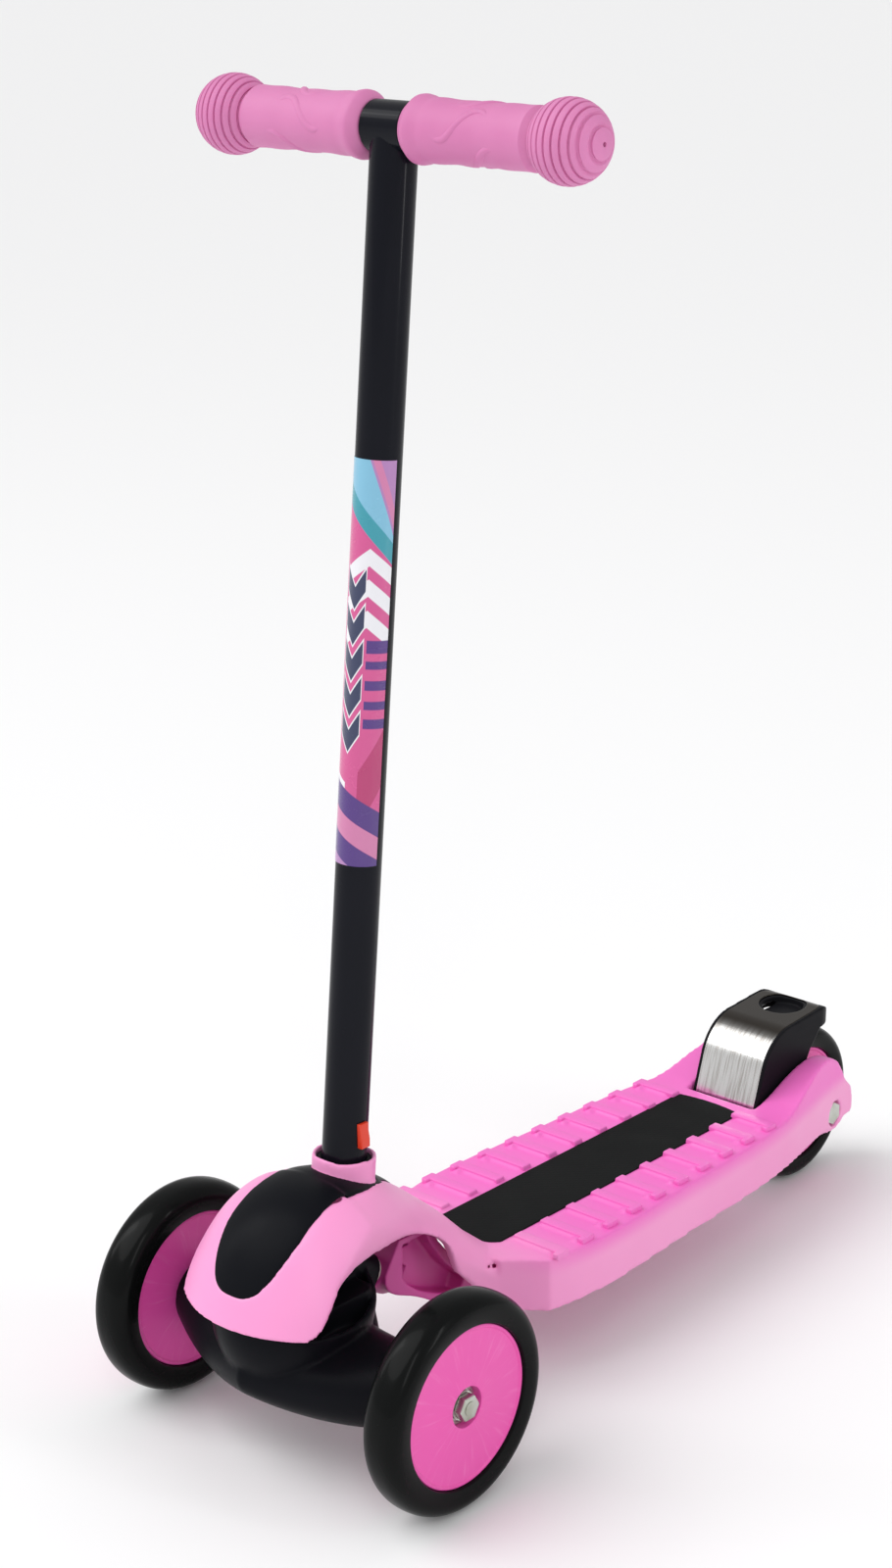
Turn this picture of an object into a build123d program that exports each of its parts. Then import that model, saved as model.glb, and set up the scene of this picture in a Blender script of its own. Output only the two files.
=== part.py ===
from build123d import *
from math import cos, pi, radians, sin
import os

# A toddler's three-wheeled kick scooter: two lean-to-steer wheels in front, one braked wheel behind.
# Millimetres. While modelling, Y = 0 is the front axle line, Z = 0 the floor, +X the rider's left and
# -Y the way it travels. Every part is moved by SHIFT at the end, so that the exported origin is on
# the floor under the middle of the overall box.

# ---- wheels ----
FRONT_R = 60.0
FRONT_HALF_WIDTH = 12.0
FRONT_HUB_R = 44.5
FRONT_TRACK_HALF = 98.5
REAR_R = 50.0
REAR_HALF_WIDTH = 10.5
REAR_HUB_R = 37.0
WHEELBASE = 444.0
HUB_SHRINK = 2.0
HUB_DISH = 3.0
TYRE_SHOULDER = 7.0
AXLE_R = 4.0
BEARING_R = 11.0
BEARING_WIDTH = 7.0
BEARING_GAP = 1.0
REAR_BEARING_GAP = 3.0
WASHER_R = 8.0
WASHER_T = 1.4
NUT_ACROSS = 13.0
NUT_T = 5.0
RUN_FIT = 0.05
SIDE_FIT = 0.3

# ---- handlebar ----
LEAN = 4.8
BAR_Y = 70.0
BAR_Z = 688.0
STEM_R = 12.0
TUBE_WALL = 1.5
BAR_R = 11.0
BAR_HALF = 108.0
GRIP_R = 14.6
GRIP_FLANGE_R = 17.0
GRIP_FLANGE_T = 5.0
GRIP_START = 13.0
BALL_R = 20.5
BALL_X = 108.6
BALL_GROOVES = 7
BALL_GROOVE_PITCH = 2.6
BALL_GROOVE_W = 1.2
BALL_GROOVE_DEPTH = 1.2
GRIP_HOLE_R = 1.5
DECAL_T = 0.25
DECAL_LOW = 320.0
DECAL_HIGH = 528.0
DECAL_SWEEP = 184.0

# ---- stem socket and latch ----
COLLAR_R = 17.0
COLLAR_TOP = 160.0
SOCKET_BOTTOM = 121.0
SLEEVE_R = 15.0
SLEEVE_RECESS = 2.0
SLEEVE_FLOOR = 3.0
BUTTON_Z = 173.5
BUTTON_WIDTH = 10.0
BUTTON_HEIGHT = 13.0
BUTTON_PROUD = 2.75
BUTTON_TRAVEL = 2.6
BUTTON_FLANGE = 2.5
BUTTON_FLANGE_T = 1.4
LATCH_WIRE_R = 0.45
LATCH_COIL_R = 3.2
LATCH_TURNS = 6

# ---- hood and neck ----
WALL = 3.0
COVER_T = 2.0
HOOD_Y = 2.0
HOOD_RIM_R = 70.0
HOOD_RIM_Z = 94.0
HOOD_TOP = 155.0
HOOD_SIDE = 48.5

# ---- deck ----
DECK_BOTTOM = 45.0
DECK_TOP = 77.0
DECK_FRONT = 129.0
DECK_CORNER_HALF = 58.0
DECK_HALF = 62.0
DECK_SKIN = 3.5
MAT_HALF = 23.5
MAT_FRONT = 116.0
MAT_REAR = 357.0
MAT_T = 1.2
MAT_PROUD = 0.6
TREAD_COUNT = 10
TREAD_PITCH = 23.6
TREAD_START = 134.0
TREAD_LENGTH_Y = 8.0
TREAD_HEIGHT = 1.8
TREAD_INNER = 27.0
TREAD_EDGE = 5.0
RIB_T = 2.5
CROSS_RIBS = 6
RIB_START = 152.0
RIB_PITCH = 42.0
LONG_RIB_X = 20.0

# ---- tail ----
SLOT_HALF = 14.0
SLOT_FRONT = 388.0
SLOT_STEP = 62.5
TAIL_BOTTOM = 39.5
CHEEK_HALF = 33.0
TAIL_END = 469.0
BOLT_RECESS_R = 8.5
BOLT_RECESS = 5.0
PIN_R = 3.0
PIN_Y = 382.0
PIN_Z = 70.0
POCKET_FRONT = 366.0
POCKET_REAR = 405.0
POCKET_FLOOR = 61.5

# ---- brake ----
BRAKE_HALF = 24.0
BRAKE_T = 3.5
PLATE_T = 1.0
SKIRT_T = 3.0
BRAKE_REAR = 457.0
BRAKE_BEND = 30.0
BRAKE_LIP = 16.0
BRAKE_CORNER = 18.0
DISH_FLOOR = 115.0
SHOE_GAP = 7.0
SHOE_HALF = 11.0
LUG_R = 6.5
LUG_INNER = 13.0
LUG_T = 6.0
POCKET_FIT = 1.2
BRAKE_WIRE_R = 0.8
BRAKE_COIL_R = 4.6
BRAKE_TURNS = 4.5
BRAKE_LEG = 9.0

# ---- lean pivot and truck ----
PIVOT_ANGLE = 32.0
PIVOT_Y = 43.0
PIVOT_Z = 84.0
PIVOT_R = 4.0
PIVOT_BOSS_R = 10.0
TRUCK_BOSS_LENGTH = 44.0
THRUST_T = 1.2
LUG_LENGTH = 10.0
KEEL_BOSS_LENGTH = 16.0
KEEL_HALF = 13.0
KEEL_WEB = 2.5
KEEL_FLANGE = 4.0
TRUCK_END = 86.0
TRUCK_END_R = 19.0
ARM_X = 50.0
BOWL_HALF = 40.0
BOWL_Y = -14.0
BOWL_LONG = 47.0
BOWL_DEEP = 46.0
BOWL_Z = 88.0
BOWL_WALL = 3.5
BLOCK_R = 8.0
BLOCK_X = 19.0
BLOCK_Y = -24.0
BLOCK_BOTTOM = 92.0
BLOCK_HEIGHT = 16.0
SCREW_R = 2.0
SCREW_HEAD_R = 3.8
SCREW_HEAD_T = 2.4
TONGUE_SCREW_X = 8.0
TONGUE_SCREW_Y = 150.0
TONGUE_END = 160.0
TONGUE_T = 4.0

# ---- places worked out from the sizes above ----
NOSE_FRONT = HOOD_Y - HOOD_RIM_R
SHIFT = Pos(0, -(NOSE_FRONT + WHEELBASE + REAR_R) / 2, 0)
BAR = Pos(0, BAR_Y, BAR_Z) * Rot(-LEAN, 0, 0)
PIVOT = Pos(0, PIVOT_Y, PIVOT_Z) * Rot(90 - PIVOT_ANGLE, 0, 0)
PIN = Pos(0, PIN_Y, PIN_Z) * Rot(0, 90, 0)
REAR_AXLE = Pos(0, WHEELBASE, REAR_R) * Rot(0, 90, 0)
FRONT_AXLE = Pos(0, 0, FRONT_R) * Rot(0, 90, 0)
PIN_HALF = CHEEK_HALF - 3.0
PLATE_HOLE_R = 15.0
PLATE_HOLE_Y = 431.0
FLANGE_X = 9.0
NECK_SCREW_Y = 70.0
KEEL_TOP = 102.0
SCREW_LENGTH = 12.0
COVER_FIT = 0.2
LUG_STOP = TRUCK_BOSS_LENGTH + 2 * THRUST_T + SIDE_FIT + LUG_LENGTH
FAR = 1000.0


def stem_down(z):
    """Distance down the stem from the crossbar to the height z."""
    return (BAR_Z - z) / cos(radians(LEAN))


def tube(outer, inner, low, high):
    """A round tube about Z between two heights."""
    body = Pos(0, 0, low) * Cylinder(outer, high - low, align=(Align.CENTER, Align.CENTER, Align.MIN))
    bore = Pos(0, 0, low) * Cylinder(inner, high - low, align=(Align.CENTER, Align.CENTER, Align.MIN))
    return body - bore


def rod(radius, low, high):
    """A round bar about Z between two heights."""
    return Pos(0, 0, low) * Cylinder(radius, high - low, align=(Align.CENTER, Align.CENTER, Align.MIN))


def hexagon(across, low, high):
    """A hexagon prism about Z between two heights."""
    face = RegularPolygon(across / 2 / cos(pi / 6), 6)
    return Pos(0, 0, low) * extrude(face, high - low)


def block(x0, x1, y0, y1, z0, z1):
    """A box between opposite corners."""
    centre = Pos((x0 + x1) / 2, (y0 + y1) / 2, (z0 + z1) / 2)
    return centre * Box(x1 - x0, y1 - y0, z1 - z0)


def side_prism(edges, half_width):
    """A side outline, drawn in Y and Z, made as wide as two half widths."""
    return extrude(Plane.YZ * make_face(edges), half_width, both=True)


def plan_prism(edges, low, high):
    """A plan outline, drawn in X and Y, between two heights."""
    return Pos(0, 0, low) * extrude(make_face(edges), high - low)


def turned(points):
    """A solid of revolution about Z from a closed list of (radius, height) corners."""
    face = Plane.XZ * make_face(Polyline(*points, close=True))
    return revolve(face, Axis.Z)


# ---------------------------------------------------------------- shell
def shell_plan(inset):
    """Plan outline of hood, neck, deck and cheeks, each side moved in by the inset."""
    rim_half = HOOD_SIDE - inset
    rim_r = HOOD_RIM_R - inset
    rim_y = HOOD_Y - (rim_r ** 2 - rim_half ** 2) ** 0.5
    nose = (0, HOOD_Y - rim_r)
    neck = [(HOOD_SIDE, -27), (44, 2), (36, 32), (28, 62), (27, 86), (34, 106), (48, 121)]
    tail = [(DECK_HALF, 158), (59, 250), (52.5, 355), (43, 404), (CHEEK_HALF + 2, 440)]
    corner = (DECK_CORNER_HALF - inset, DECK_FRONT + inset / 2)
    neck = [(x - inset, y) for x, y in neck]
    tail = [(x - inset, y) for x, y in tail]
    end = (CHEEK_HALF - 2 - inset, TAIL_END - inset)
    edges = []
    for side in (1, -1):
        def flip(points):
            return [(side * x, y) for x, y in points]
        start = (side * rim_half, rim_y)
        edges.append(ThreePointArc(nose, (side * rim_r * sin(0.4), HOOD_Y - rim_r * cos(0.4)), start))
        edges.append(Spline(start, *flip(neck), *flip([corner])))
        edges.append(Spline(*flip([corner]), *flip(tail), *flip([end])))
    edges.append(Line((end[0], end[1]), (-end[0], end[1])))
    return edges


def hood_dome(inset):
    """Front half of the hood: a dome turned about an upright axis, flared at its rim."""
    top = HOOD_TOP - inset
    wall = [(24, -3.5), (38, -11), (50, -23), (59, -37), (65.5, -50)]
    curve = Spline((0, top), *[(r - inset, HOOD_TOP + dz) for r, dz in wall],
                   (HOOD_RIM_R - inset, HOOD_RIM_Z), tangents=((1, 0), (0.45, -1)))
    low = HOOD_RIM_Z - inset
    corners = [(HOOD_RIM_R - inset, HOOD_RIM_Z), (0, low), (0, top)]
    if inset > 0:
        corners.insert(1, (HOOD_RIM_R - inset, low))
    floor = Polyline(*corners)
    dome = revolve(Plane.XZ * make_face([curve, floor]), Axis.Z)
    return Pos(0, HOOD_Y, 0) * dome & block(-FAR, FAR, -FAR, HOOD_Y, 0, FAR)


def neck_loft(inset):
    """Rear of the hood, the neck and its flare into the deck, as one crowned form."""
    rows = [(HOOD_Y, 60, 98, HOOD_TOP), (18, 52, 98, 153.5), (34, 43, 97, 148), (50, 35, 94, 138.5),
            (66, 29.5, 88, 126), (83, 27.5, 78, 112.5), (100, 33, 60, 97.5), (114, 44, 48, 84),
            (126, 56, DECK_BOTTOM, DECK_TOP)]
    sections = []
    for y, half, floor, top in rows:
        low = floor - inset
        arch = EllipticalCenterArc((0, low), half - inset, top - low - inset, 0, arc_size=180)
        base = Line((inset - half, low), (half - inset, low))
        section = Plane.XZ * make_face([arch, base])
        sections.append((Pos(0, y, 0) * section).face())
    return loft(sections)


def deck_profile(inset):
    """Side outline of the deck and its cheeks."""
    top = DECK_TOP - inset
    low = DECK_BOTTOM - inset
    end = TAIL_END - inset
    crown = Spline((360, top), (378, top + 3), (396, top + 10), (413, top + 15), (432, top + 15),
                   (448, 83 - inset), (460 - inset, 67), (end, 46), tangents=((1, 0), (0, -1)))
    heel = Spline((end, 46), (463 - inset, TAIL_BOTTOM + 4), (449, TAIL_BOTTOM), (428, TAIL_BOTTOM + 3),
                  (400, low), tangents=((0, -1), (-1, 0)))
    return [Line((110, top), (360, top)), crown, heel, Line((400, low), (110, low)),
            Line((110, low), (110, top))]


def inside_of_hood():
    """Room inside the hood where its lug and posts may hang below the arch line."""
    return block(-BLOCK_X - BLOCK_R, BLOCK_X + BLOCK_R, -40, 40, 60, FAR)


def arch_cut():
    """The space under the hood and neck, seen from the side, from the rim to the deck's front wall."""
    start = (-58, HOOD_RIM_Z - 1)
    edge = Spline(start, (-49, 95.5), (-41, 103), (-34, 112), (-26, 119), (-12, 123.5), (12, 121.5),
                  (34, 117.5), (54, 110), (70, 102), (82, 91), (85, 80), (88, 66), (100, DECK_BOTTOM),
                  tangents=((1, 0), (1, -1)))
    base = Polyline((100, DECK_BOTTOM), (100, 0), (-FAR, 0), (-FAR, start[1]), start)
    return side_prism([edge, base], FAR)


def shell_form(inset):
    """Solid form of the whole shell, each surface moved in by the inset."""
    form = hood_dome(inset) + neck_loft(inset) + side_prism(deck_profile(inset), FAR)
    return form & plan_prism(shell_plan(inset), 0, FAR)


def cover_plan(fit=0.0):
    """Plan outline of the nose cover: a tongue from the nose back past the stem."""
    half = 24 - fit
    right = Spline((0, -61 + fit), (16 - fit, -56), (half, -40), (half, -4), (22 - fit, 18), (12 - fit, 44),
                   (0, 64 - fit), tangents=((1, 0), (-0.5, 1)))
    left = mirror(right, Plane.YZ)
    return [right, left]


def cut_bed(solid, depth, fit=0.0):
    """The layer of the hood's skin, down to a depth, inside the nose cover's outline."""
    return (plan_prism(cover_plan(fit), HOOD_RIM_Z, FAR) & solid) - shell_form(depth)


def deck_ribs():
    """Ribs and screw bosses under the deck's skin."""
    top = DECK_TOP - 1
    rib = block(LONG_RIB_X, LONG_RIB_X + RIB_T, RIB_START - 20, POCKET_FRONT, DECK_BOTTOM + 3, top)
    ribs = rib + mirror(rib, Plane.YZ)
    for index in range(CROSS_RIBS):
        y = RIB_START + 12 + index * RIB_PITCH
        ribs += block(-DECK_HALF, DECK_HALF, y, y + RIB_T, DECK_BOTTOM + 3, top)
    boss = Pos(TONGUE_SCREW_X, TONGUE_SCREW_Y, 0) * rod(SCREW_HEAD_R + 1, DECK_BOTTOM + 1 + TONGUE_T, top)
    return ribs + boss + mirror(boss, Plane.YZ)


def treads():
    """Raised anti-slip bars on both sides of the mat, each with a short hook at its outer end."""
    bars = []
    for index in range(TREAD_COUNT):
        y = TREAD_START + index * TREAD_PITCH
        outer = DECK_HALF - TREAD_EDGE - 0.045 * (y - TREAD_START)
        bar = block(TREAD_INNER, outer, y, y + TREAD_LENGTH_Y, DECK_TOP - 1, DECK_TOP + TREAD_HEIGHT)
        bar += block(outer - 3, outer, y - 4, y + 1, DECK_TOP - 1, DECK_TOP + TREAD_HEIGHT)
        bars += [bar, mirror(bar, Plane.YZ)]
    return bars


def brake_pocket():
    """Space in the deck's tail for the brake's foot and its swing, and the slot for the rear wheel."""
    half = BRAKE_HALF + POCKET_FIT
    foot = block(-half, half, POCKET_FRONT, POCKET_REAR, POCKET_FLOOR, FAR)
    foot += block(-half, half, POCKET_FRONT, FAR, SLOT_STEP, FAR)
    slot = block(-SLOT_HALF, SLOT_HALF, SLOT_FRONT, FAR, 0, FAR)
    return foot + slot


def cheek_pockets():
    """Hollows between the inner and outer walls of the cheeks, open below."""
    plan = plan_prism(shell_plan(WALL), 0, FAR)
    form = side_prism(deck_profile(WALL), FAR) & plan
    pocket = form & block(SLOT_HALF + WALL, FAR, 408, WHEELBASE - BOLT_RECESS_R - 5, 0, SLOT_STEP - WALL)
    return pocket + mirror(pocket, Plane.YZ)


def make_shell():
    """One moulding: hood, neck, deck and cheeks, with the stem boss and its inner ribs."""
    outer = shell_form(0)
    mid_hood = shell_form(COVER_T + WALL / 2)
    mid_deck = shell_form(WALL / 2)
    inner = shell_form(WALL + COVER_T)
    pocket_top = DECK_TOP - DECK_SKIN
    deck_inner = plan_prism(shell_plan(WALL), 0, pocket_top)
    deck_inner &= block(-FAR, FAR, 100, POCKET_FRONT - WALL, 0, FAR)
    hollow = (inner & block(-FAR, FAR, -FAR, 124, 0, FAR)) + deck_inner
    shell = outer - hollow - cut_bed(outer, COVER_T)

    boss = BAR * rod(COLLAR_R, -stem_down(SOCKET_BOTTOM), -stem_down(COLLAR_TOP))
    lug_start = TRUCK_BOSS_LENGTH + 2 * THRUST_T + SIDE_FIT
    lug_end = lug_start + LUG_LENGTH
    lug = rod(PIVOT_BOSS_R, lug_start, lug_end)
    lug += block(-PIVOT_BOSS_R, PIVOT_BOSS_R, 0, 34, lug_start, lug_end)
    post = Pos(BLOCK_X, BLOCK_Y, 0) * rod(BLOCK_R, BLOCK_BOTTOM + BLOCK_HEIGHT, HOOD_TOP)
    neck_post = Pos(0, NECK_SCREW_Y, 0) * rod(SCREW_HEAD_R + 2, KEEL_TOP, HOOD_TOP)
    inside = (PIVOT * lug + post + mirror(post, Plane.YZ) + neck_post) & mid_hood
    shell += inside + boss
    shell += deck_ribs() & mid_deck
    shell += [bar & plan_prism(shell_plan(TREAD_EDGE), 0, FAR) for bar in treads()]

    shell -= BAR * rod(SLEEVE_R, -stem_down(SOCKET_BOTTOM), 0)
    shell -= PIVOT * rod(PIVOT_R + RUN_FIT, lug_start - 1, lug_end + 20)
    shell -= PIVOT * rod(WASHER_R + 1, lug_end, lug_end + 14)
    shell -= plan_prism(mat_plan(), DECK_TOP + MAT_PROUD - MAT_T, FAR) & block(-FAR, FAR, 110, 365, 0, FAR)
    shell -= arch_cut() - inside_of_hood()
    shell -= brake_pocket() + cheek_pockets()
    shell -= REAR_AXLE * rod(AXLE_R + RUN_FIT, -FAR, FAR)
    for side in (-1, 1):
        face = side * (CHEEK_HALF - BOLT_RECESS)
        recess = REAR_AXLE * rod(BOLT_RECESS_R, min(face, side * FAR), max(face, side * FAR))
        shell -= recess
    shell -= PIN * rod(PIN_R + RUN_FIT, -PIN_HALF, PIN_HALF)
    for x, y, low in screw_places():
        shell -= Pos(x, y, 0) * rod(SCREW_R + RUN_FIT, low, low + SCREW_LENGTH + 1)
    return shell


def make_cover():
    """Black cover let into the top of the hood, with a hole for the stem boss."""
    cover = cut_bed(shell_form(0), COVER_T - COVER_FIT, COVER_FIT)
    hole = BAR * rod(COLLAR_R + COVER_FIT, -stem_down(SOCKET_BOTTOM), 0)
    return (cover - hole) - arch_cut()


def mat_plan(fit=0.0):
    """Plan outline of the foot mat: straight sides, a rounded front and a shallow curved rear."""
    half = MAT_HALF - fit
    front = ThreePointArc((-half, MAT_FRONT + 11), (0, MAT_FRONT + fit), (half, MAT_FRONT + 11))
    rear = ThreePointArc((-half, MAT_REAR - 3), (0, MAT_REAR - fit), (half, MAT_REAR - 3))
    left = Line((-half, MAT_FRONT + 11), (-half, MAT_REAR - 3))
    right = Line((half, MAT_FRONT + 11), (half, MAT_REAR - 3))
    return [front, right, rear, left]


def make_mat():
    """Anti-slip mat laid in its shallow recess."""
    low = DECK_TOP + MAT_PROUD - MAT_T
    return plan_prism(mat_plan(COVER_FIT), low, low + MAT_T)


# ---------------------------------------------------------------- keel and lean pivot
def screw_places():
    """Foot of each keel screw's shank: X, Y and the height where its head seats."""
    tongue = DECK_BOTTOM + 1
    return [(TONGUE_SCREW_X, TONGUE_SCREW_Y, tongue), (-TONGUE_SCREW_X, TONGUE_SCREW_Y, tongue),
            (0, NECK_SCREW_Y, KEEL_TOP - KEEL_FLANGE)]


def make_keel():
    """Gooseneck under the neck: a flanged web that carries the kingpin and runs back under the deck."""
    low = DECK_BOTTOM + 1
    belly = Spline((PIVOT_Y, PIVOT_Z - 4), (62, 65.5), (84, 53), (104, low), tangents=((0.3, -1), (1, 0)))
    rest = Polyline((104, low), (TONGUE_END, low), (TONGUE_END, low + TONGUE_T), (122, low + TONGUE_T),
                    (112, 62), (96, 78), (86, KEEL_TOP - 12), (80, KEEL_TOP), (PIVOT_Y, KEEL_TOP),
                    (PIVOT_Y, PIVOT_Z - 4))
    keel = side_prism([belly, rest], KEEL_HALF)
    web_belly = Spline((PIVOT_Y + 14, PIVOT_Z - 6), (66, 69), (86, 58), (104, low + KEEL_FLANGE + 1))
    web_rest = Polyline((104, low + KEEL_FLANGE + 1), (108, 59), (92, 74), (80, KEEL_TOP - KEEL_FLANGE - 8),
                        (76, KEEL_TOP - KEEL_FLANGE), (PIVOT_Y + 14, KEEL_TOP - KEEL_FLANGE),
                        (PIVOT_Y + 14, PIVOT_Z - 6))
    window = extrude(Plane.YZ * make_face([web_belly, web_rest]), KEEL_HALF)
    pocket = Pos(KEEL_WEB, 0, 0) * window
    keel -= pocket + mirror(pocket, Plane.YZ)
    keel += PIVOT * rod(PIVOT_BOSS_R, -KEEL_BOSS_LENGTH, 0)
    keel += Pos(0, NECK_SCREW_Y, 0) * (rod(SCREW_HEAD_R + 2, KEEL_TOP - 10, KEEL_TOP))
    keel -= PIVOT * block(-FAR, FAR, -FAR, FAR, 0, FAR)
    keel -= PIVOT * rod(PIVOT_R + RUN_FIT, -KEEL_BOSS_LENGTH - 1, 1)
    keel -= PIVOT * rod(WASHER_R + 1, -KEEL_BOSS_LENGTH - 12, -KEEL_BOSS_LENGTH)
    for x, y, seat in screw_places():
        keel -= Pos(x, y, 0) * rod(SCREW_R + RUN_FIT, seat - 1, FAR)
        keel -= Pos(x, y, 0) * rod(SCREW_HEAD_R + 0.5, seat - (9 if x == 0 else 2), seat)
    return keel


def make_screws():
    """Three keel screws: two up through the tongue and one up into the neck."""
    screws = []
    for x, y, seat in screw_places():
        screw = rod(SCREW_HEAD_R, seat - SCREW_HEAD_T, seat) + rod(SCREW_R, seat, seat + SCREW_LENGTH)
        screw -= Pos(0, 0, seat - SCREW_HEAD_T) * extrude(RegularPolygon(1.6, 6), 1.4)
        screws.append(Pos(x, y, 0) * screw)
    return Compound(children=screws)


def make_kingpin():
    """Lean pivot bolt: head in the keel, shank through the truck, thread in the hood's lug."""
    start = -KEEL_BOSS_LENGTH - WASHER_T
    bolt = rod(PIVOT_R, start, LUG_STOP + WASHER_T + NUT_T)
    return PIVOT * (bolt + hexagon(NUT_ACROSS, start - NUT_T, start))


def make_kingpin_nut():
    """Nut on the kingpin's upper end."""
    low = LUG_STOP + WASHER_T
    return PIVOT * (hexagon(NUT_ACROSS, low, low + NUT_T) - rod(PIVOT_R, low, low + NUT_T))


def make_kingpin_washers():
    """Washers under the kingpin's head and nut."""
    lower = tube(WASHER_R, PIVOT_R + RUN_FIT, -KEEL_BOSS_LENGTH - WASHER_T, -KEEL_BOSS_LENGTH)
    upper = tube(WASHER_R, PIVOT_R + RUN_FIT, LUG_STOP, LUG_STOP + WASHER_T)
    return Compound(children=[PIVOT * lower, PIVOT * upper])


def make_thrust_washers():
    """Nylon rings on both ends of the truck's pivot boss."""
    low = SIDE_FIT / 2
    first = tube(PIVOT_BOSS_R - 1, PIVOT_R + RUN_FIT, low, low + THRUST_T)
    high = low + THRUST_T + TRUCK_BOSS_LENGTH
    second = tube(PIVOT_BOSS_R - 1, PIVOT_R + RUN_FIT, high, high + THRUST_T)
    return Compound(children=[PIVOT * first, PIVOT * second])


def make_blocks():
    """Elastomer blocks that push the truck back to the middle, one on each side of the kingpin."""
    block_ = Pos(BLOCK_X, BLOCK_Y, 0) * rod(BLOCK_R - 1, BLOCK_BOTTOM + SIDE_FIT, BLOCK_BOTTOM + BLOCK_HEIGHT)
    return Compound(children=[block_, mirror(block_, Plane.YZ)])


def make_truck():
    """Black beam that carries both front wheels and swings on the kingpin."""
    ends = []
    for x, y, z, long, high in [(0, -14, 60, 43, 22), (ARM_X, -7, 56, 31, 22),
                                (TRUCK_END, 0, FRONT_R, TRUCK_END_R, TRUCK_END_R)]:
        ring = Ellipse(long, high)
        ends.append((Pos(x, y, z) * (Plane.YZ * ring)).face())
    arm = loft(ends)
    truck = arm + mirror(arm, Plane.YZ)
    ball = Sphere(1)
    bowl = Pos(0, BOWL_Y, BOWL_Z) * scale(ball, by=(BOWL_HALF, BOWL_LONG, BOWL_DEEP))
    cup = Pos(0, BOWL_Y, BOWL_Z) * scale(ball, by=(BOWL_HALF - BOWL_WALL, BOWL_LONG - BOWL_WALL,
                                                   BOWL_DEEP - BOWL_WALL))
    roof = Plane.XZ * make_face(Polyline((-FAR, 0), (-FAR, BOWL_Z - 4), (-BOWL_HALF, BOWL_Z - 4),
                                         (0, BOWL_Z + 9), (BOWL_HALF, BOWL_Z - 4), (FAR, BOWL_Z - 4),
                                         (FAR, 0), close=True))
    roof = extrude(roof, FAR, both=True)
    truck += (bowl & roof) - (cup & block(-FAR, FAR, -FAR, FAR, BOWL_Z - 22, FAR))
    tower_foot = (Pos(0, -2, 62) * (Plane.XY * RectangleRounded(2 * BLOCK_X + 14, 62, 8))).face()
    tower_top = (Pos(0, -5, BLOCK_BOTTOM) * (Plane.XY * RectangleRounded(2 * BLOCK_X + 14, 54, 8))).face()
    truck += loft([tower_foot, tower_top])
    start = SIDE_FIT / 2 + THRUST_T
    boss = rod(PIVOT_BOSS_R, start, start + TRUCK_BOSS_LENGTH)
    boss += block(-PIVOT_BOSS_R, PIVOT_BOSS_R, -30, 0, start, start + TRUCK_BOSS_LENGTH)
    truck += PIVOT * boss
    truck -= PIVOT * block(-FAR, FAR, -FAR, FAR, -FAR, start) & block(-60, 60, 20, FAR, 70, FAR)
    truck -= PIVOT * rod(PIVOT_R + RUN_FIT, -FAR, FAR)
    truck -= PIVOT * rod(PIVOT_BOSS_R + 2, start + TRUCK_BOSS_LENGTH, FAR)
    truck -= FRONT_AXLE * rod(AXLE_R + RUN_FIT, -FAR, FAR)
    return truck


# ---------------------------------------------------------------- wheels
def make_tyre(radius, half, hub_r):
    """Round-shouldered tyre about Z."""
    crown = ThreePointArc((radius - TYRE_SHOULDER, half), (radius, 0), (radius - TYRE_SHOULDER, -half))
    inner = Polyline((radius - TYRE_SHOULDER, -half), (hub_r, -half + 1.0), (hub_r, half - 1.0),
                     (radius - TYRE_SHOULDER, half))
    return revolve(Plane.XZ * make_face([crown, inner]), Axis.Z)


def make_hub(half, hub_r, gap):
    """Wheel hub about Z: a dished disc on each side, a rim, and seats for two bearings."""
    face = half - HUB_SHRINK
    core = BEARING_R + 4
    low = -face
    top = low + 2 * BEARING_WIDTH + gap
    hub = turned([(0, low), (core, low), (core + 2, low + 1), (hub_r, low + 1), (hub_r, face - 1),
                  (hub_r - 5, face - 1), (core + 2, face - HUB_DISH + 1), (core, face), (0, face)])
    hub -= rod(BEARING_R, top - BEARING_WIDTH, face + 1)
    hub -= rod(BEARING_R, low - 1, low + BEARING_WIDTH)
    return hub - rod(BEARING_R - 2.5, low - 1, face + 1)


def make_bearings(low, gap):
    """Two bearing rings about Z, the first one starting at the height low."""
    high = low + BEARING_WIDTH + gap
    first = tube(BEARING_R, AXLE_R + RUN_FIT, low, low + BEARING_WIDTH)
    second = tube(BEARING_R, AXLE_R + RUN_FIT, high, high + BEARING_WIDTH)
    return Compound(children=[first, second])


def make_wheel(name, radius, half, hub_r, gap):
    """The four pieces of one wheel, made about Z with the outer side up."""
    low = HUB_SHRINK - half
    return {
        f"{name}_tyre": make_tyre(radius, half, hub_r),
        f"{name}_hub": make_hub(half, hub_r, gap),
        f"{name}_bearings": make_bearings(low, gap),
        f"{name}_spacer": tube(AXLE_R + 2, AXLE_R + RUN_FIT, low + BEARING_WIDTH, low + BEARING_WIDTH + gap),
    }


def make_wheels():
    """Both front wheels and the rear wheel on their axles."""
    parts = {}
    place = Pos(FRONT_TRACK_HALF, 0, 0) * FRONT_AXLE
    left = make_wheel("left", FRONT_R, FRONT_HALF_WIDTH, FRONT_HUB_R, BEARING_GAP)
    for name, part in left.items():
        piece = name.removeprefix("left_")
        parts[f"front_left_{piece}"] = place * part
        parts[f"front_right_{piece}"] = mirror(place * part, Plane.YZ)
    rear = make_wheel("rear", REAR_R, REAR_HALF_WIDTH, REAR_HUB_R, REAR_BEARING_GAP)
    for name, part in rear.items():
        parts[name] = REAR_AXLE * part
    return parts


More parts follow.
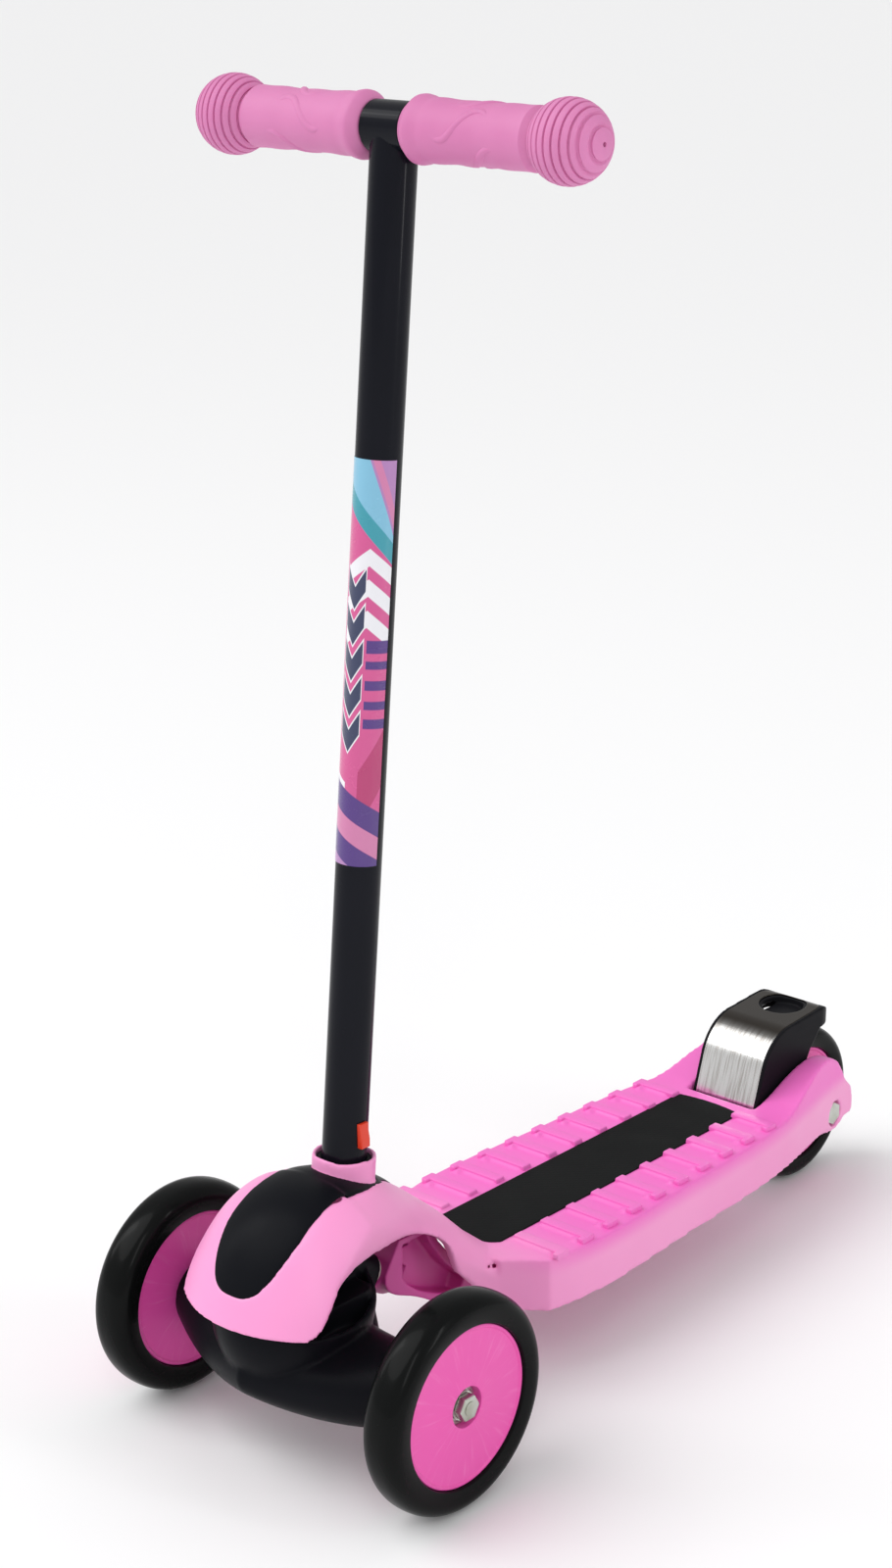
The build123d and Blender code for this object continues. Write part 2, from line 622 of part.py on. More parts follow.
def both_sides(part):
    """The part and its mirror image on the other side of the scooter, as two solids."""
    return Compound(children=[part, mirror(part, Plane.YZ)])


def make_front_axle_parts():
    """Through axle with its end nuts, and the washers inside and outside of each wheel."""
    inner_face = FRONT_TRACK_HALF - FRONT_HALF_WIDTH + HUB_SHRINK
    seat = inner_face + 2 * BEARING_WIDTH + BEARING_GAP + SIDE_FIT
    nut = hexagon(NUT_ACROSS, seat + WASHER_T, seat + WASHER_T + NUT_T)
    nut -= rod(AXLE_R, seat + WASHER_T, seat + WASHER_T + NUT_T)
    outer = tube(WASHER_R, AXLE_R + RUN_FIT, seat, seat + WASHER_T)
    inner = tube(WASHER_R - 1, AXLE_R + RUN_FIT, TRUCK_END, inner_face - SIDE_FIT)
    end = seat + WASHER_T + NUT_T + 0.4
    return {
        "front_axle": FRONT_AXLE * rod(AXLE_R, -end, end),
        "front_axle_nuts": both_sides(FRONT_AXLE * nut),
        "front_washers": both_sides(Compound(children=[FRONT_AXLE * outer, FRONT_AXLE * inner])),
    }


def make_rear_axle_parts():
    """Rear axle bolt with its nut, and the spacers that centre the wheel between the cheeks."""
    seat = CHEEK_HALF - BOLT_RECESS
    bolt = rod(AXLE_R, -seat - NUT_T, seat) + hexagon(NUT_ACROSS, seat, seat + NUT_T)
    nut = hexagon(NUT_ACROSS, -seat - NUT_T, -seat) - rod(AXLE_R, -seat - NUT_T, -seat)
    hub_face = REAR_HALF_WIDTH - HUB_SHRINK
    spacer = tube(AXLE_R + 2.5, AXLE_R + RUN_FIT, hub_face + SIDE_FIT, SLOT_HALF)
    return {
        "rear_axle_bolt": REAR_AXLE * bolt,
        "rear_axle_nut": REAR_AXLE * nut,
        "rear_axle_spacers": both_sides(REAR_AXLE * spacer),
    }


# ---------------------------------------------------------------- handlebar and latch
def make_stem():
    """Stem tube, coped to the crossbar, with the window for the release button."""
    foot = -stem_down(SOCKET_BOTTOM) + SLEEVE_FLOOR
    stem = tube(STEM_R, STEM_R - TUBE_WALL, foot, 0)
    stem -= Rot(0, 90, 0) * rod(BAR_R, -FAR, FAR)
    y, z = BUTTON_WIDTH / 2 + COVER_FIT, BUTTON_HEIGHT / 2 + COVER_FIT
    middle = -stem_down(BUTTON_Z)
    return BAR * (stem - block(0, FAR, -y, y, middle - z, middle + z))


def make_crossbar():
    """Straight crossbar tube."""
    return BAR * Rot(0, 90, 0) * tube(BAR_R, BAR_R - TUBE_WALL, -BAR_HALF, BAR_HALF)


def make_grip():
    """Left grip: flanged inner end, swelling body, and a ball end with ring grooves."""
    ball_start = BALL_X - (BALL_R ** 2 - GRIP_R ** 2) ** 0.5
    flange_end = GRIP_START + GRIP_FLANGE_T
    tip = BALL_X + BALL_R
    lead = Polyline((GRIP_START, BAR_R + RUN_FIT), (GRIP_START, GRIP_FLANGE_R - 1.5),
                    (GRIP_START + 1.5, GRIP_FLANGE_R), (flange_end, GRIP_FLANGE_R),
                    (flange_end + 2.5, GRIP_R))
    body = Line((flange_end + 2.5, GRIP_R), (ball_start, GRIP_R))
    ball = ThreePointArc((ball_start, GRIP_R), (BALL_X, BALL_R), (tip, 0))
    bore = Polyline((tip, 0), (BAR_HALF + 1, 0), (BAR_HALF + 1, BAR_R + RUN_FIT),
                    (GRIP_START, BAR_R + RUN_FIT))
    grip = revolve(Plane.XY * make_face([lead, body, ball, bore]), Axis.X)
    first = BALL_X - BALL_GROOVE_PITCH * (BALL_GROOVES - 3)
    for index in range(BALL_GROOVES):
        x = first + index * BALL_GROOVE_PITCH
        radius = (BALL_R ** 2 - (x - BALL_X) ** 2) ** 0.5
        ring = tube(radius + 2, radius - BALL_GROOVE_DEPTH, x, x + BALL_GROOVE_W)
        grip -= Rot(0, 90, 0) * ring
    grip -= Rot(0, 90, 0) * rod(GRIP_HOLE_R, tip - 6, tip + 1)
    return BAR * grip


def make_decal():
    """Thin printed wrap round the front half of the stem."""
    half = radians(DECAL_SWEEP / 2)
    inner = STEM_R + 0.02
    outer = STEM_R + DECAL_T
    ends = [(side * sin(half), -cos(half)) for side in (-1, 1)]
    rim = [ThreePointArc((ends[0][0] * r, ends[0][1] * r), (0, -r), (ends[1][0] * r, ends[1][1] * r))
           for r in (inner, outer)]
    caps = [Line((x * inner, y * inner), (x * outer, y * outer)) for x, y in ends]
    low = -stem_down(DECAL_LOW)
    return BAR * plan_prism(rim + caps, low, -stem_down(DECAL_HIGH))


def make_sleeve():
    """Closed-ended black sleeve that lines the stem socket."""
    low = -stem_down(SOCKET_BOTTOM)
    high = -stem_down(COLLAR_TOP) - SLEEVE_RECESS
    sleeve = rod(SLEEVE_R - RUN_FIT, low, high) - rod(STEM_R + RUN_FIT, low + SLEEVE_FLOOR, high)
    return BAR * sleeve


def make_button():
    """Release button: a cap through the stem's window and a flange that keeps it in."""
    middle = -stem_down(BUTTON_Z)
    y, z = BUTTON_WIDTH / 2, BUTTON_HEIGHT / 2
    back = FLANGE_X - BUTTON_FLANGE_T
    cap = block(back, STEM_R + BUTTON_PROUD, -y, y, middle - z, middle + z)
    cap = fillet(cap.edges().filter_by(Axis.Y).sort_by(Axis.X)[-2:], 1.0)
    flange = block(back, FLANGE_X, -y, y, middle - z - BUTTON_FLANGE, middle + z + BUTTON_FLANGE)
    return BAR * (cap + flange)


def coil(radius, wire, pitch, turns):
    """A helical spring about Z, starting at zero."""
    path = Helix(pitch, pitch * turns, radius)
    start = Plane(origin=path @ 0, z_dir=path % 0)
    return sweep(start * Circle(wire), path=path)


def make_latch_spring():
    """Spring inside the stem that pushes the button out."""
    reach = FLANGE_X - BUTTON_FLANGE_T + STEM_R - TUBE_WALL - 2 * LATCH_WIRE_R - 2 * SIDE_FIT
    spring = coil(LATCH_COIL_R, LATCH_WIRE_R, reach / LATCH_TURNS, LATCH_TURNS)
    start = -(STEM_R - TUBE_WALL) + LATCH_WIRE_R + SIDE_FIT
    wall_drop = STEM_R - TUBE_WALL - ((STEM_R - TUBE_WALL) ** 2 - (LATCH_COIL_R + LATCH_WIRE_R) ** 2) ** 0.5
    shortened = scale(spring, by=(1, 1, (reach - wall_drop) / reach))
    return BAR * Pos(start + wall_drop, 0, -stem_down(BUTTON_Z)) * Rot(0, 90, 0) * shortened


# ---------------------------------------------------------------- brake
def brake_face(inset):
    """Side outline under the brake's domed top, moved in by the inset."""
    front = (384, 118)
    rear = (447, 121.5)
    sketch = make_face(Polyline((369, 62), (370.5, 75), front, rear,
                                (BRAKE_REAR, 108), (BRAKE_REAR, 60), close=True))
    sketch = fillet(sketch.vertices().sort_by_distance((*front, 0))[0], BRAKE_BEND)
    sketch = fillet(sketch.vertices().sort_by_distance((*rear, 0))[0], BRAKE_LIP)
    return offset(sketch, -inset) if inset else sketch


def brake_plan(half, rear, corner):
    """Upright prism of the brake's plan, with rounded rear corners."""
    plan = make_face(Polyline((-half, 340), (half, 340), (half, rear), (-half, rear), close=True))
    plan = fillet(plan.vertices().sort_by(Axis.Y)[-2:], corner)
    return extrude(plan, FAR)


def brake_layer(inset):
    """Everything under the brake's domed top, as wide as can be."""
    return extrude(Plane.YZ * brake_face(inset), FAR, both=True)


def brake_form(inset, half):
    """Solid under the brake's domed top, inside its plan."""
    return brake_layer(inset) & brake_plan(half, BRAKE_REAR - inset, BRAKE_CORNER - inset)


def plate_zone(fit):
    """Region that the metal plate covers, seen from the side and from above."""
    half = BRAKE_HALF - SKIRT_T + 1 - fit
    outline = brake_plan(half, BRAKE_REAR - 7 - fit, BRAKE_CORNER - 2)
    return outline & block(-FAR, FAR, 360, FAR, 74 + fit, FAR)


def plate_hole(radius):
    """Round hole near the brake's rear edge, where the foot presses."""
    return Pos(0, PLATE_HOLE_Y, 0) * rod(radius, 100, FAR)


def make_brake_body():
    """Black brake lever over the rear wheel, with skirts, pivot lugs and the brake shoe."""
    body = brake_form(0, BRAKE_HALF) - brake_form(PLATE_T + BRAKE_T, BRAKE_HALF - SKIRT_T)
    skirt = Polyline((386, 40), (387, 66), (393, 68.5), (410, 71), (419, 80), (428, 96), (439, 108), (500, 110),
                     (500, 40), close=True)
    body -= side_prism(skirt, FAR)
    body -= block(-FAR, FAR, 360, 400, 0, PIN_Z - 2.5)
    bridge = Polyline((PIN_Y - LUG_R, PIN_Z), (372.5, 78), (377, 94), (388, 94), (PIN_Y + LUG_R, PIN_Z),
                      close=True)
    bridge = extrude(Plane.YZ * make_face(bridge), LUG_T) & brake_layer(PLATE_T + 1)
    lug = bridge + PIN * rod(LUG_R, 0, LUG_T)
    lug = Pos(LUG_INNER, 0, 0) * lug
    shoe = block(-SHOE_HALF, SHOE_HALF, 420, 447, 90, 118) - REAR_AXLE * rod(REAR_R + SHOE_GAP, -FAR, FAR)
    shoe &= brake_layer(PLATE_T + 1)
    body += [lug, mirror(lug, Plane.YZ), shoe]
    body -= (brake_layer(0) - brake_layer(PLATE_T)) & plate_zone(0)
    body -= Pos(0, PLATE_HOLE_Y, 0) * rod(PLATE_HOLE_R - 2, DISH_FLOOR, FAR)
    return body - PIN * rod(PIN_R + RUN_FIT, -FAR, FAR)


def make_brake_plate():
    """Bright metal plate let into the top of the brake."""
    layer = brake_layer(0.02) - brake_layer(PLATE_T)
    return (layer & plate_zone(COVER_FIT / 2)) - plate_hole(PLATE_HOLE_R)


def make_brake_spring():
    """Torsion spring on the brake pin, with one leg to the deck and one to the brake."""
    pitch = 2 * BRAKE_WIRE_R + 0.3
    height = pitch * BRAKE_TURNS
    path = Helix(pitch, height, BRAKE_COIL_R)
    first = Line((path @ 0) - (path % 0) * BRAKE_LEG, path @ 0)
    last = Line(path @ 1, (path @ 1) + (path % 1) * BRAKE_LEG)
    start = Plane(origin=first @ 0, z_dir=first % 0)
    spring = sweep(start * Circle(BRAKE_WIRE_R), path=Wire([first, path, last]))
    return PIN * Pos(0, 0, -height / 2) * mirror(spring, Plane.XZ)


def make_parts():
    """Every part by name."""
    grip = make_grip()
    parts = {
        "deck_shell": make_shell(),
        "nose_cover": make_cover(),
        "foot_mat": make_mat(),
        "neck_keel": make_keel(),
        "keel_screws": make_screws(),
        "kingpin_bolt": make_kingpin(),
        "kingpin_nut": make_kingpin_nut(),
        "kingpin_washers": make_kingpin_washers(),
        "thrust_washers": make_thrust_washers(),
        "centering_blocks": make_blocks(),
        "truck_body": make_truck(),
        "stem_tube": make_stem(),
        "cross_tube": make_crossbar(),
        "grip_left": grip,
        "grip_right": mirror(grip, Plane.YZ),
        "stem_decal": make_decal(),
        "stem_sleeve": make_sleeve(),
        "latch_button": make_button(),
        "latch_spring": make_latch_spring(),
        "brake_body": make_brake_body(),
        "brake_plate": make_brake_plate(),
        "brake_pin": PIN * rod(PIN_R, -PIN_HALF, PIN_HALF),
        "brake_spring": make_brake_spring(),
    }
    return parts | make_wheels() | make_front_axle_parts() | make_rear_axle_parts()


def export_all(parts):
    """Writes one STEP file for each named part."""
    os.makedirs("parts", exist_ok=True)
    for name, part in parts.items():
        export_step(SHIFT * part, f"parts/{name}.step")


if __name__ == "__main__":
    export_all(make_parts())
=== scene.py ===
"""Looks of a toddler's three-wheeled kick scooter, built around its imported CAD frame."""

import logging
import math
from dataclasses import dataclass
from enum import Enum
from typing import Iterable, Optional, Sequence

import bpy
from mathutils import Matrix, Vector


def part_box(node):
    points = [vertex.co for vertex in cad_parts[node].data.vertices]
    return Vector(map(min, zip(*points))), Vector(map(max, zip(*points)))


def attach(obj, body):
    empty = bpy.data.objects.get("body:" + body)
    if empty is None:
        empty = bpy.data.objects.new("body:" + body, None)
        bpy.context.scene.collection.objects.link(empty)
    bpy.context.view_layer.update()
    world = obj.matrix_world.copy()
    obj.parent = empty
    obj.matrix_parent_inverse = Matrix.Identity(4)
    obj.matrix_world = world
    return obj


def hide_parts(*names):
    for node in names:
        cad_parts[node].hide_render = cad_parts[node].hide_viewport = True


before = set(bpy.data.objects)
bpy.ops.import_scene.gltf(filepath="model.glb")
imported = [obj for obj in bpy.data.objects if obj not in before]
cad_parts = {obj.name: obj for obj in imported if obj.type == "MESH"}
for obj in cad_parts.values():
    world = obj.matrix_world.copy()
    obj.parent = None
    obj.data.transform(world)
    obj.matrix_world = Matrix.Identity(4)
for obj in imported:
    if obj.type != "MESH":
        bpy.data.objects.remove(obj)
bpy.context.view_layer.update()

LOG = logging.getLogger("scooter")
MM = 0.001
TAU = 2 * math.pi
COLLAR_Y = -187.5
DOUBLES = 1e-6

Piece = bpy.types.Object
Point2 = tuple[float, float]
Colour = tuple[float, float, float]


# ------------------------------------------------------------------ names
class Body(Enum):
    """The rigid bodies that pieces ride on."""

    DECK = "deck"
    TRUCK = "truck"
    FRONT_LEFT = "wheel_front_left"
    FRONT_RIGHT = "wheel_front_right"
    REAR = "wheel_rear"
    BRAKE = "brake"
    BUTTON = "button"


class Slot(Enum):
    """Names of the material slots that pieces are published with."""

    SHELL = "shell_pink"
    COVER = "cover_black"
    KEEL = "keel_pink"
    MAT = "mat_black"
    BAR = "bar_black"
    GRIP = "grip_pink"
    DECAL = "decal_print"
    SLEEVE = "sleeve_black"
    BUTTON = "button_orange"
    TRUCK = "truck_black"
    STEEL = "steel_zinc"
    NYLON = "nylon_white"
    ELASTOMER = "elastomer"
    TYRE = "tyre_black"
    HUB = "hub_pink"
    BRAKE = "brake_black"
    BRAKE_METAL = "brake_metal"
    SPRING = "spring_steel"


class Axis(Enum):
    """Directions along which a turned piece is laid."""

    X = "X"
    Z = "Z"


# ------------------------------------------------------------------ node sheets
class NodeSheet:
    """A material's node tree with short calls for what the finishes need."""

    def __init__(self, name: str) -> None:
        """Starts an empty material with one shader.

        Args:
            name: the material's name.
        """
        self.material = bpy.data.materials.new(name)
        self.material.use_nodes = True
        self.nodes = self.material.node_tree.nodes
        self.links = self.material.node_tree.links
        self.shader = self.nodes["Principled BSDF"]
        self.place = self.nodes.new("ShaderNodeTexCoord").outputs["Object"]

    def set(self, **values: object) -> None:
        """Sets the shader's sockets.

        Args:
            **values: values by socket name, with underscores for the name's spaces.
        """
        for key, value in values.items():
            self.shader.inputs[key.replace("_", " ")].default_value = value

    def feed(self, source: object, socket: object) -> None:
        """Links an output to a socket, or writes a plain value to it.

        Args:
            source: an output socket or a plain value.
            socket: the input that takes it.
        """
        if isinstance(source, bpy.types.NodeSocket):
            self.links.new(source, socket)
        else:
            socket.default_value = source

    def math(self, operation: str, a: object, b: object = 0.0,
             clamp: bool = False) -> bpy.types.NodeSocket:
        """One arithmetic step.

        Args:
            operation: the Math node's operation.
            a: first value or output.
            b: second value or output.
            clamp: whether the result is kept from 0 to 1.

        Returns:
            The result's output socket.
        """
        node = self.nodes.new("ShaderNodeMath")
        node.operation = operation
        node.use_clamp = clamp
        self.feed(a, node.inputs[0])
        self.feed(b, node.inputs[1])
        return node.outputs[0]

    def step(self, value: object, low: float, high: float) -> bpy.types.NodeSocket:
        """A smooth step of a value between two limits.

        Args:
            value: the value or output.
            low: where the step starts from 0.
            high: where the step reaches 1.

        Returns:
            The step's output socket.
        """
        node = self.nodes.new("ShaderNodeMapRange")
        node.interpolation_type = "SMOOTHSTEP"
        self.feed(value, node.inputs["Value"])
        node.inputs["From Min"].default_value = low
        node.inputs["From Max"].default_value = high
        return node.outputs["Result"]

    def stretch(self, scale: Sequence[float], shift: Sequence[float] = (0, 0, 0),
                turn: Sequence[float] = (0, 0, 0)) -> bpy.types.NodeSocket:
        """Object coordinates, moved, turned and scaled.

        Args:
            scale: factors along X, Y and Z.
            shift: offset in metres.
            turn: angles in radians.

        Returns:
            The coordinates' output socket.
        """
        node = self.nodes.new("ShaderNodeMapping")
        self.links.new(self.place, node.inputs["Vector"])
        node.inputs["Location"].default_value = shift
        node.inputs["Rotation"].default_value = turn
        node.inputs["Scale"].default_value = scale
        return node.outputs["Vector"]

    def noise(self, scale: float, detail: float = 2.0,
              vector: Optional[object] = None) -> bpy.types.NodeSocket:
        """Cloud noise over the object.

        Args:
            scale: how many features there are in a metre.
            detail: octaves.
            vector: coordinates, the object's own by default.

        Returns:
            The noise's value socket.
        """
        node = self.nodes.new("ShaderNodeTexNoise")
        node.inputs["Scale"].default_value = scale
        node.inputs["Detail"].default_value = detail
        self.links.new(vector or self.place, node.inputs["Vector"])
        return node.outputs["Fac"]

    def cells(self, scale: float, vector: Optional[object] = None) -> bpy.types.NodeSocket:
        """Distance to the nearest cell centre, for pebbled grain.

        Args:
            scale: how many cells there are in a metre.
            vector: coordinates, the object's own by default.

        Returns:
            The distance's output socket.
        """
        node = self.nodes.new("ShaderNodeTexVoronoi")
        node.inputs["Scale"].default_value = scale
        self.links.new(vector or self.place, node.inputs["Vector"])
        return node.outputs["Distance"]

    def mix(self, factor: object, a: object, b: object) -> bpy.types.NodeSocket:
        """Two colours mixed by a factor.

        Args:
            factor: share of the second colour.
            a: first colour or output.
            b: second colour or output.

        Returns:
            The colour's output socket.
        """
        node = self.nodes.new("ShaderNodeMix")
        node.data_type = "RGBA"
        self.feed(factor, node.inputs[0])
        for source, socket in ((a, node.inputs[6]), (b, node.inputs[7])):
            self.feed((*source, 1.0) if isinstance(source, tuple) else source, socket)
        return node.outputs[2]

    def split(self, vector: object) -> bpy.types.bpy_prop_collection:
        """The X, Y and Z outputs of a vector."""
        node = self.nodes.new("ShaderNodeSeparateXYZ")
        self.links.new(vector, node.inputs[0])
        return node.outputs

    def bump(self, height: object, strength: float, distance: float,
             normal: Optional[object] = None) -> bpy.types.NodeSocket:
        """Surface relief from a height.

        Args:
            height: the height's output socket.
            strength: share of the effect.
            distance: relief in metres.
            normal: relief to add to.

        Returns:
            The normal's output socket.
        """
        node = self.nodes.new("ShaderNodeBump")
        node.inputs["Strength"].default_value = strength
        node.inputs["Distance"].default_value = distance
        self.links.new(height, node.inputs["Height"])
        if normal is not None:
            self.links.new(normal, node.inputs["Normal"])
        return node.outputs["Normal"]

    def wear(self, low: float, high: float, scale: float = 35.0) -> None:
        """Roughness that drifts between two values, with fine handling marks.

        Args:
            low: smoothest value.
            high: roughest value.
            scale: how many clouds there are in a metre.
        """
        cloud = self.noise(scale, 4.0)
        marks = self.noise(scale * 9, 3.0, self.stretch((1, 0.15, 1)))
        total = self.math("ADD", cloud, self.math("MULTIPLY", marks, 0.35))
        node = self.nodes.new("ShaderNodeMapRange")
        self.links.new(total, node.inputs["Value"])
        node.inputs["From Min"].default_value = 0.35
        node.inputs["From Max"].default_value = 0.95
        node.inputs["To Min"].default_value = low
        node.inputs["To Max"].default_value = high
        self.links.new(node.outputs["Result"], self.shader.inputs["Roughness"])


# ------------------------------------------------------------------ finishes
@dataclass(frozen=True)
class Finish:
    """A moulded plastic or rubber finish, and the base of the others."""

    name: str
    colour: Colour
    shade: Colour
    rough: tuple[float, float] = (0.35, 0.45)
    grain: float = 1400.0
    relief: float = 0.00004
    coat: float = 0.0
    soft: float = 0.0
    shine: float = 0.5

    def material(self) -> bpy.types.Material:
        """The finish's material, made once."""
        made = bpy.data.materials.get(self.name)
        if made:
            return made
        sheet = NodeSheet(self.name)
        sheet.set(Coat_Weight=self.coat, Coat_Roughness=0.08, Specular_IOR_Level=self.shine)
        sheet.shader.inputs["Subsurface Weight"].default_value = self.soft
        sheet.shader.inputs["Subsurface Radius"].default_value = (0.004, 0.002, 0.002)
        sheet.wear(*self.rough)
        self.paint(sheet)
        return sheet.material

    def paint(self, sheet: NodeSheet) -> None:
        """Links colour and relief.

        Args:
            sheet: the material's node sheet.
        """
        tint = sheet.mix(sheet.step(sheet.noise(14.0, 3.0), 0.3, 0.8), self.colour, self.shade)
        sheet.feed(tint, sheet.shader.inputs["Base Color"])
        grain = sheet.bump(sheet.noise(self.grain, 2.0), 0.6, self.relief)
        flow = sheet.bump(sheet.noise(22.0, 1.0), 0.25, 0.0006, grain)
        sheet.feed(flow, sheet.shader.inputs["Normal"])


@dataclass(frozen=True)
class ShellFinish(Finish):
    """Pink moulding whose deck top gets a painted shade, a deeper pink than its flanks."""

    # Painted shade: the deeper pink laid over the deck top, and the heights and deck lengths that it covers.
    painted_top_shade: Colour = (0.88, 0.165, 0.57)
    shade_top_z: tuple[float, float] = (0.064, 0.077)
    shade_deck_y: tuple[float, float] = (-0.115, -0.045)

    def paint(self, sheet: NodeSheet) -> None:
        """Links colour and relief.

        Args:
            sheet: the material's node sheet.
        """
        place = sheet.split(sheet.place)
        # Painted shade: a mask over the top of the deck, from height and place along the deck.
        height = sheet.step(place[2], *self.shade_top_z)
        back = sheet.step(place[1], *self.shade_deck_y)
        base = sheet.mix(sheet.step(sheet.noise(9.0, 3.0), 0.3, 0.8), self.colour, self.shade)
        # Painted shade: the masked deck top is mixed towards the deeper pink.
        tint = sheet.mix(sheet.math("MULTIPLY", height, back), base, self.painted_top_shade)
        sheet.feed(tint, sheet.shader.inputs["Base Color"])
        grain = sheet.bump(sheet.cells(self.grain), 0.5, self.relief)
        flow = sheet.bump(sheet.noise(18.0, 1.0), 0.2, 0.0005, grain)
        sheet.feed(flow, sheet.shader.inputs["Normal"])


@dataclass(frozen=True)
class HubFinish(Finish):
    """Moulded disc with faint flow lines that run out from its centre."""

    centre: tuple[float, float] = (0.0, 0.0)
    rays: float = 26.0

    def paint(self, sheet: NodeSheet) -> None:
        """Links colour and relief.

        Args:
            sheet: the material's node sheet.
        """
        place = sheet.split(sheet.stretch((1, 1, 1), (0, -self.centre[0], -self.centre[1])))
        angle = sheet.math("ARCTAN2", place[2], place[1])
        fan = sheet.nodes.new("ShaderNodeCombineXYZ")
        sheet.feed(sheet.math("MULTIPLY", angle, self.rays / TAU), fan.inputs[0])
        reach = sheet.math("ADD", sheet.math("POWER", place[1], 2.0), sheet.math("POWER", place[2], 2.0))
        sheet.feed(sheet.math("MULTIPLY", sheet.math("SQRT", reach), 14.0), fan.inputs[1])
        streak = sheet.step(sheet.noise(3.2, 4.0, fan.outputs[0]), 0.52, 0.78)
        tint = sheet.mix(sheet.math("MULTIPLY", streak, 0.32), self.colour, self.shade)
        sheet.feed(tint, sheet.shader.inputs["Base Color"])
        lines = sheet.bump(streak, 0.25, 0.00025)
        grain = sheet.bump(sheet.noise(self.grain, 2.0), 0.5, self.relief, lines)
        sheet.feed(grain, sheet.shader.inputs["Normal"])


@dataclass(frozen=True)
class MetalFinish(Finish):
    """Plated or brushed metal with fine lines along one direction."""

    lines: tuple[float, float, float] = (40.0, 900.0, 900.0)
    bright: float = 1.0

    def paint(self, sheet: NodeSheet) -> None:
        """Links colour, relief and metal.

        Args:
            sheet: the material's node sheet.
        """
        sheet.set(Metallic=self.bright)
        brushed = sheet.noise(1.0, 3.0, sheet.stretch(self.lines))
        stain = sheet.step(sheet.noise(60.0, 3.0), 0.45, 0.75)
        tint = sheet.mix(stain, self.colour, self.shade)
        fine = sheet.mix(sheet.math("MULTIPLY", brushed, 0.35), tint, self.shade)
        sheet.feed(fine, sheet.shader.inputs["Base Color"])
        relief = sheet.bump(brushed, 0.5, self.relief)
        sheet.feed(relief, sheet.shader.inputs["Normal"])


@dataclass(frozen=True)
class PlateFinish(MetalFinish):
    """Polished plate, bright on its steep front, whose top is painted dark brown as a painted reflection."""

    # Painted reflection: the dark brown laid on the plate's top, and where along the plate the top begins.
    top: Colour = (0.055, 0.048, 0.042)
    dark_reflection_y: tuple[float, float] = (0.166, 0.184)

    def paint(self, sheet: NodeSheet) -> None:
        """Links colour, relief and metal.

        Args:
            sheet: the material's node sheet.
        """
        sheet.set(Metallic=self.bright)
        # Painted reflection: past the bend, the plate's top is mixed to a dark brown.
        back = sheet.step(sheet.split(sheet.place)[1], *self.dark_reflection_y)
        brushed = sheet.noise(1.0, 3.0, sheet.stretch(self.lines))
        streak = sheet.step(brushed, 0.42, 0.66)
        front = sheet.mix(sheet.math("MULTIPLY", streak, 0.75), self.colour, self.shade)
        sheet.feed(sheet.mix(back, front, self.top), sheet.shader.inputs["Base Color"])
        relief = sheet.bump(brushed, 0.5, self.relief)
        sheet.feed(relief, sheet.shader.inputs["Normal"])


@dataclass(frozen=True)
class MatFinish(Finish):
    """Anti-slip mat with a raised diamond grid over fine grain."""

    pitch: float = 330.0

    def paint(self, sheet: NodeSheet) -> None:
        """Links colour and relief.

        Args:
            sheet: the material's node sheet.
        """
        tint = sheet.mix(sheet.noise(30.0, 4.0), self.colour, self.shade)
        sheet.feed(tint, sheet.shader.inputs["Base Color"])
        grid = sheet.nodes.new("ShaderNodeTexVoronoi")
        grid.distance = "CHEBYCHEV"
        grid.inputs["Scale"].default_value = self.pitch
        grid.inputs["Randomness"].default_value = 0.0
        sheet.links.new(sheet.stretch((1, 1, 0.0), turn=(0, 0, math.radians(45))), grid.inputs["Vector"])
        studs = sheet.bump(grid.outputs["Distance"], 0.35, 0.0004)
        studs.node.invert = True
        grain = sheet.bump(sheet.noise(self.grain, 3.0), 0.8, self.relief, studs)
        sheet.feed(grain, sheet.shader.inputs["Normal"])


@dataclass(frozen=True)
class PrintLayer:
    """One printed band of the stem's wrap, in shares of its width and height.

    level = height + slope * |across - bend| is kept between low and high, and
    across is kept between left and right.
    """

    colour: Colour
    low: float
    high: float
    slope: float = 0.0
    bend: float = 0.0
    left: float = -1.0
    right: float = 2.0


@dataclass(frozen=True)
class WrapFinish(Finish):
    """Printed film with layered diagonal bands, chevrons and a ladder of bars."""

    layers: tuple[PrintLayer, ...] = ()
    edge: float = 0.0015

    def inside(self, sheet: NodeSheet, value: object, low: float,
               high: float) -> bpy.types.NodeSocket:
        """A mask that is 1 where a value lies between two limits.

        Args:
            sheet: the material's node sheet.
            value: the value or output.
            low: lower limit.
            high: upper limit.

        Returns:
            The mask's output socket.
        """
        above = sheet.step(value, low - self.edge, low + self.edge)
        below = sheet.step(value, high - self.edge, high + self.edge)
        return sheet.math("SUBTRACT", above, below, True)

    def paint(self, sheet: NodeSheet) -> None:
        """Links the printed colours over the wrap's own map.

        Args:
            sheet: the material's node sheet.
        """
        chart = sheet.nodes.new("ShaderNodeUVMap")
        chart.uv_map = WRAP_MAP
        across, up, _ = sheet.split(chart.outputs[0])
        tint: object = self.colour
        for layer in self.layers:
            bent = sheet.math("ABSOLUTE", sheet.math("SUBTRACT", across, layer.bend))
            level = sheet.math("ADD", up, sheet.math("MULTIPLY", bent, layer.slope))
            mask = sheet.math("MULTIPLY", self.inside(sheet, level, layer.low, layer.high),
                              self.inside(sheet, across, layer.left, layer.right))
            tint = sheet.mix(mask, tint, layer.colour)
        sheet.feed(tint, sheet.shader.inputs["Base Color"])
        sheet.feed(sheet.bump(sheet.noise(self.grain, 2.0), 0.3, self.relief), sheet.shader.inputs["Normal"])


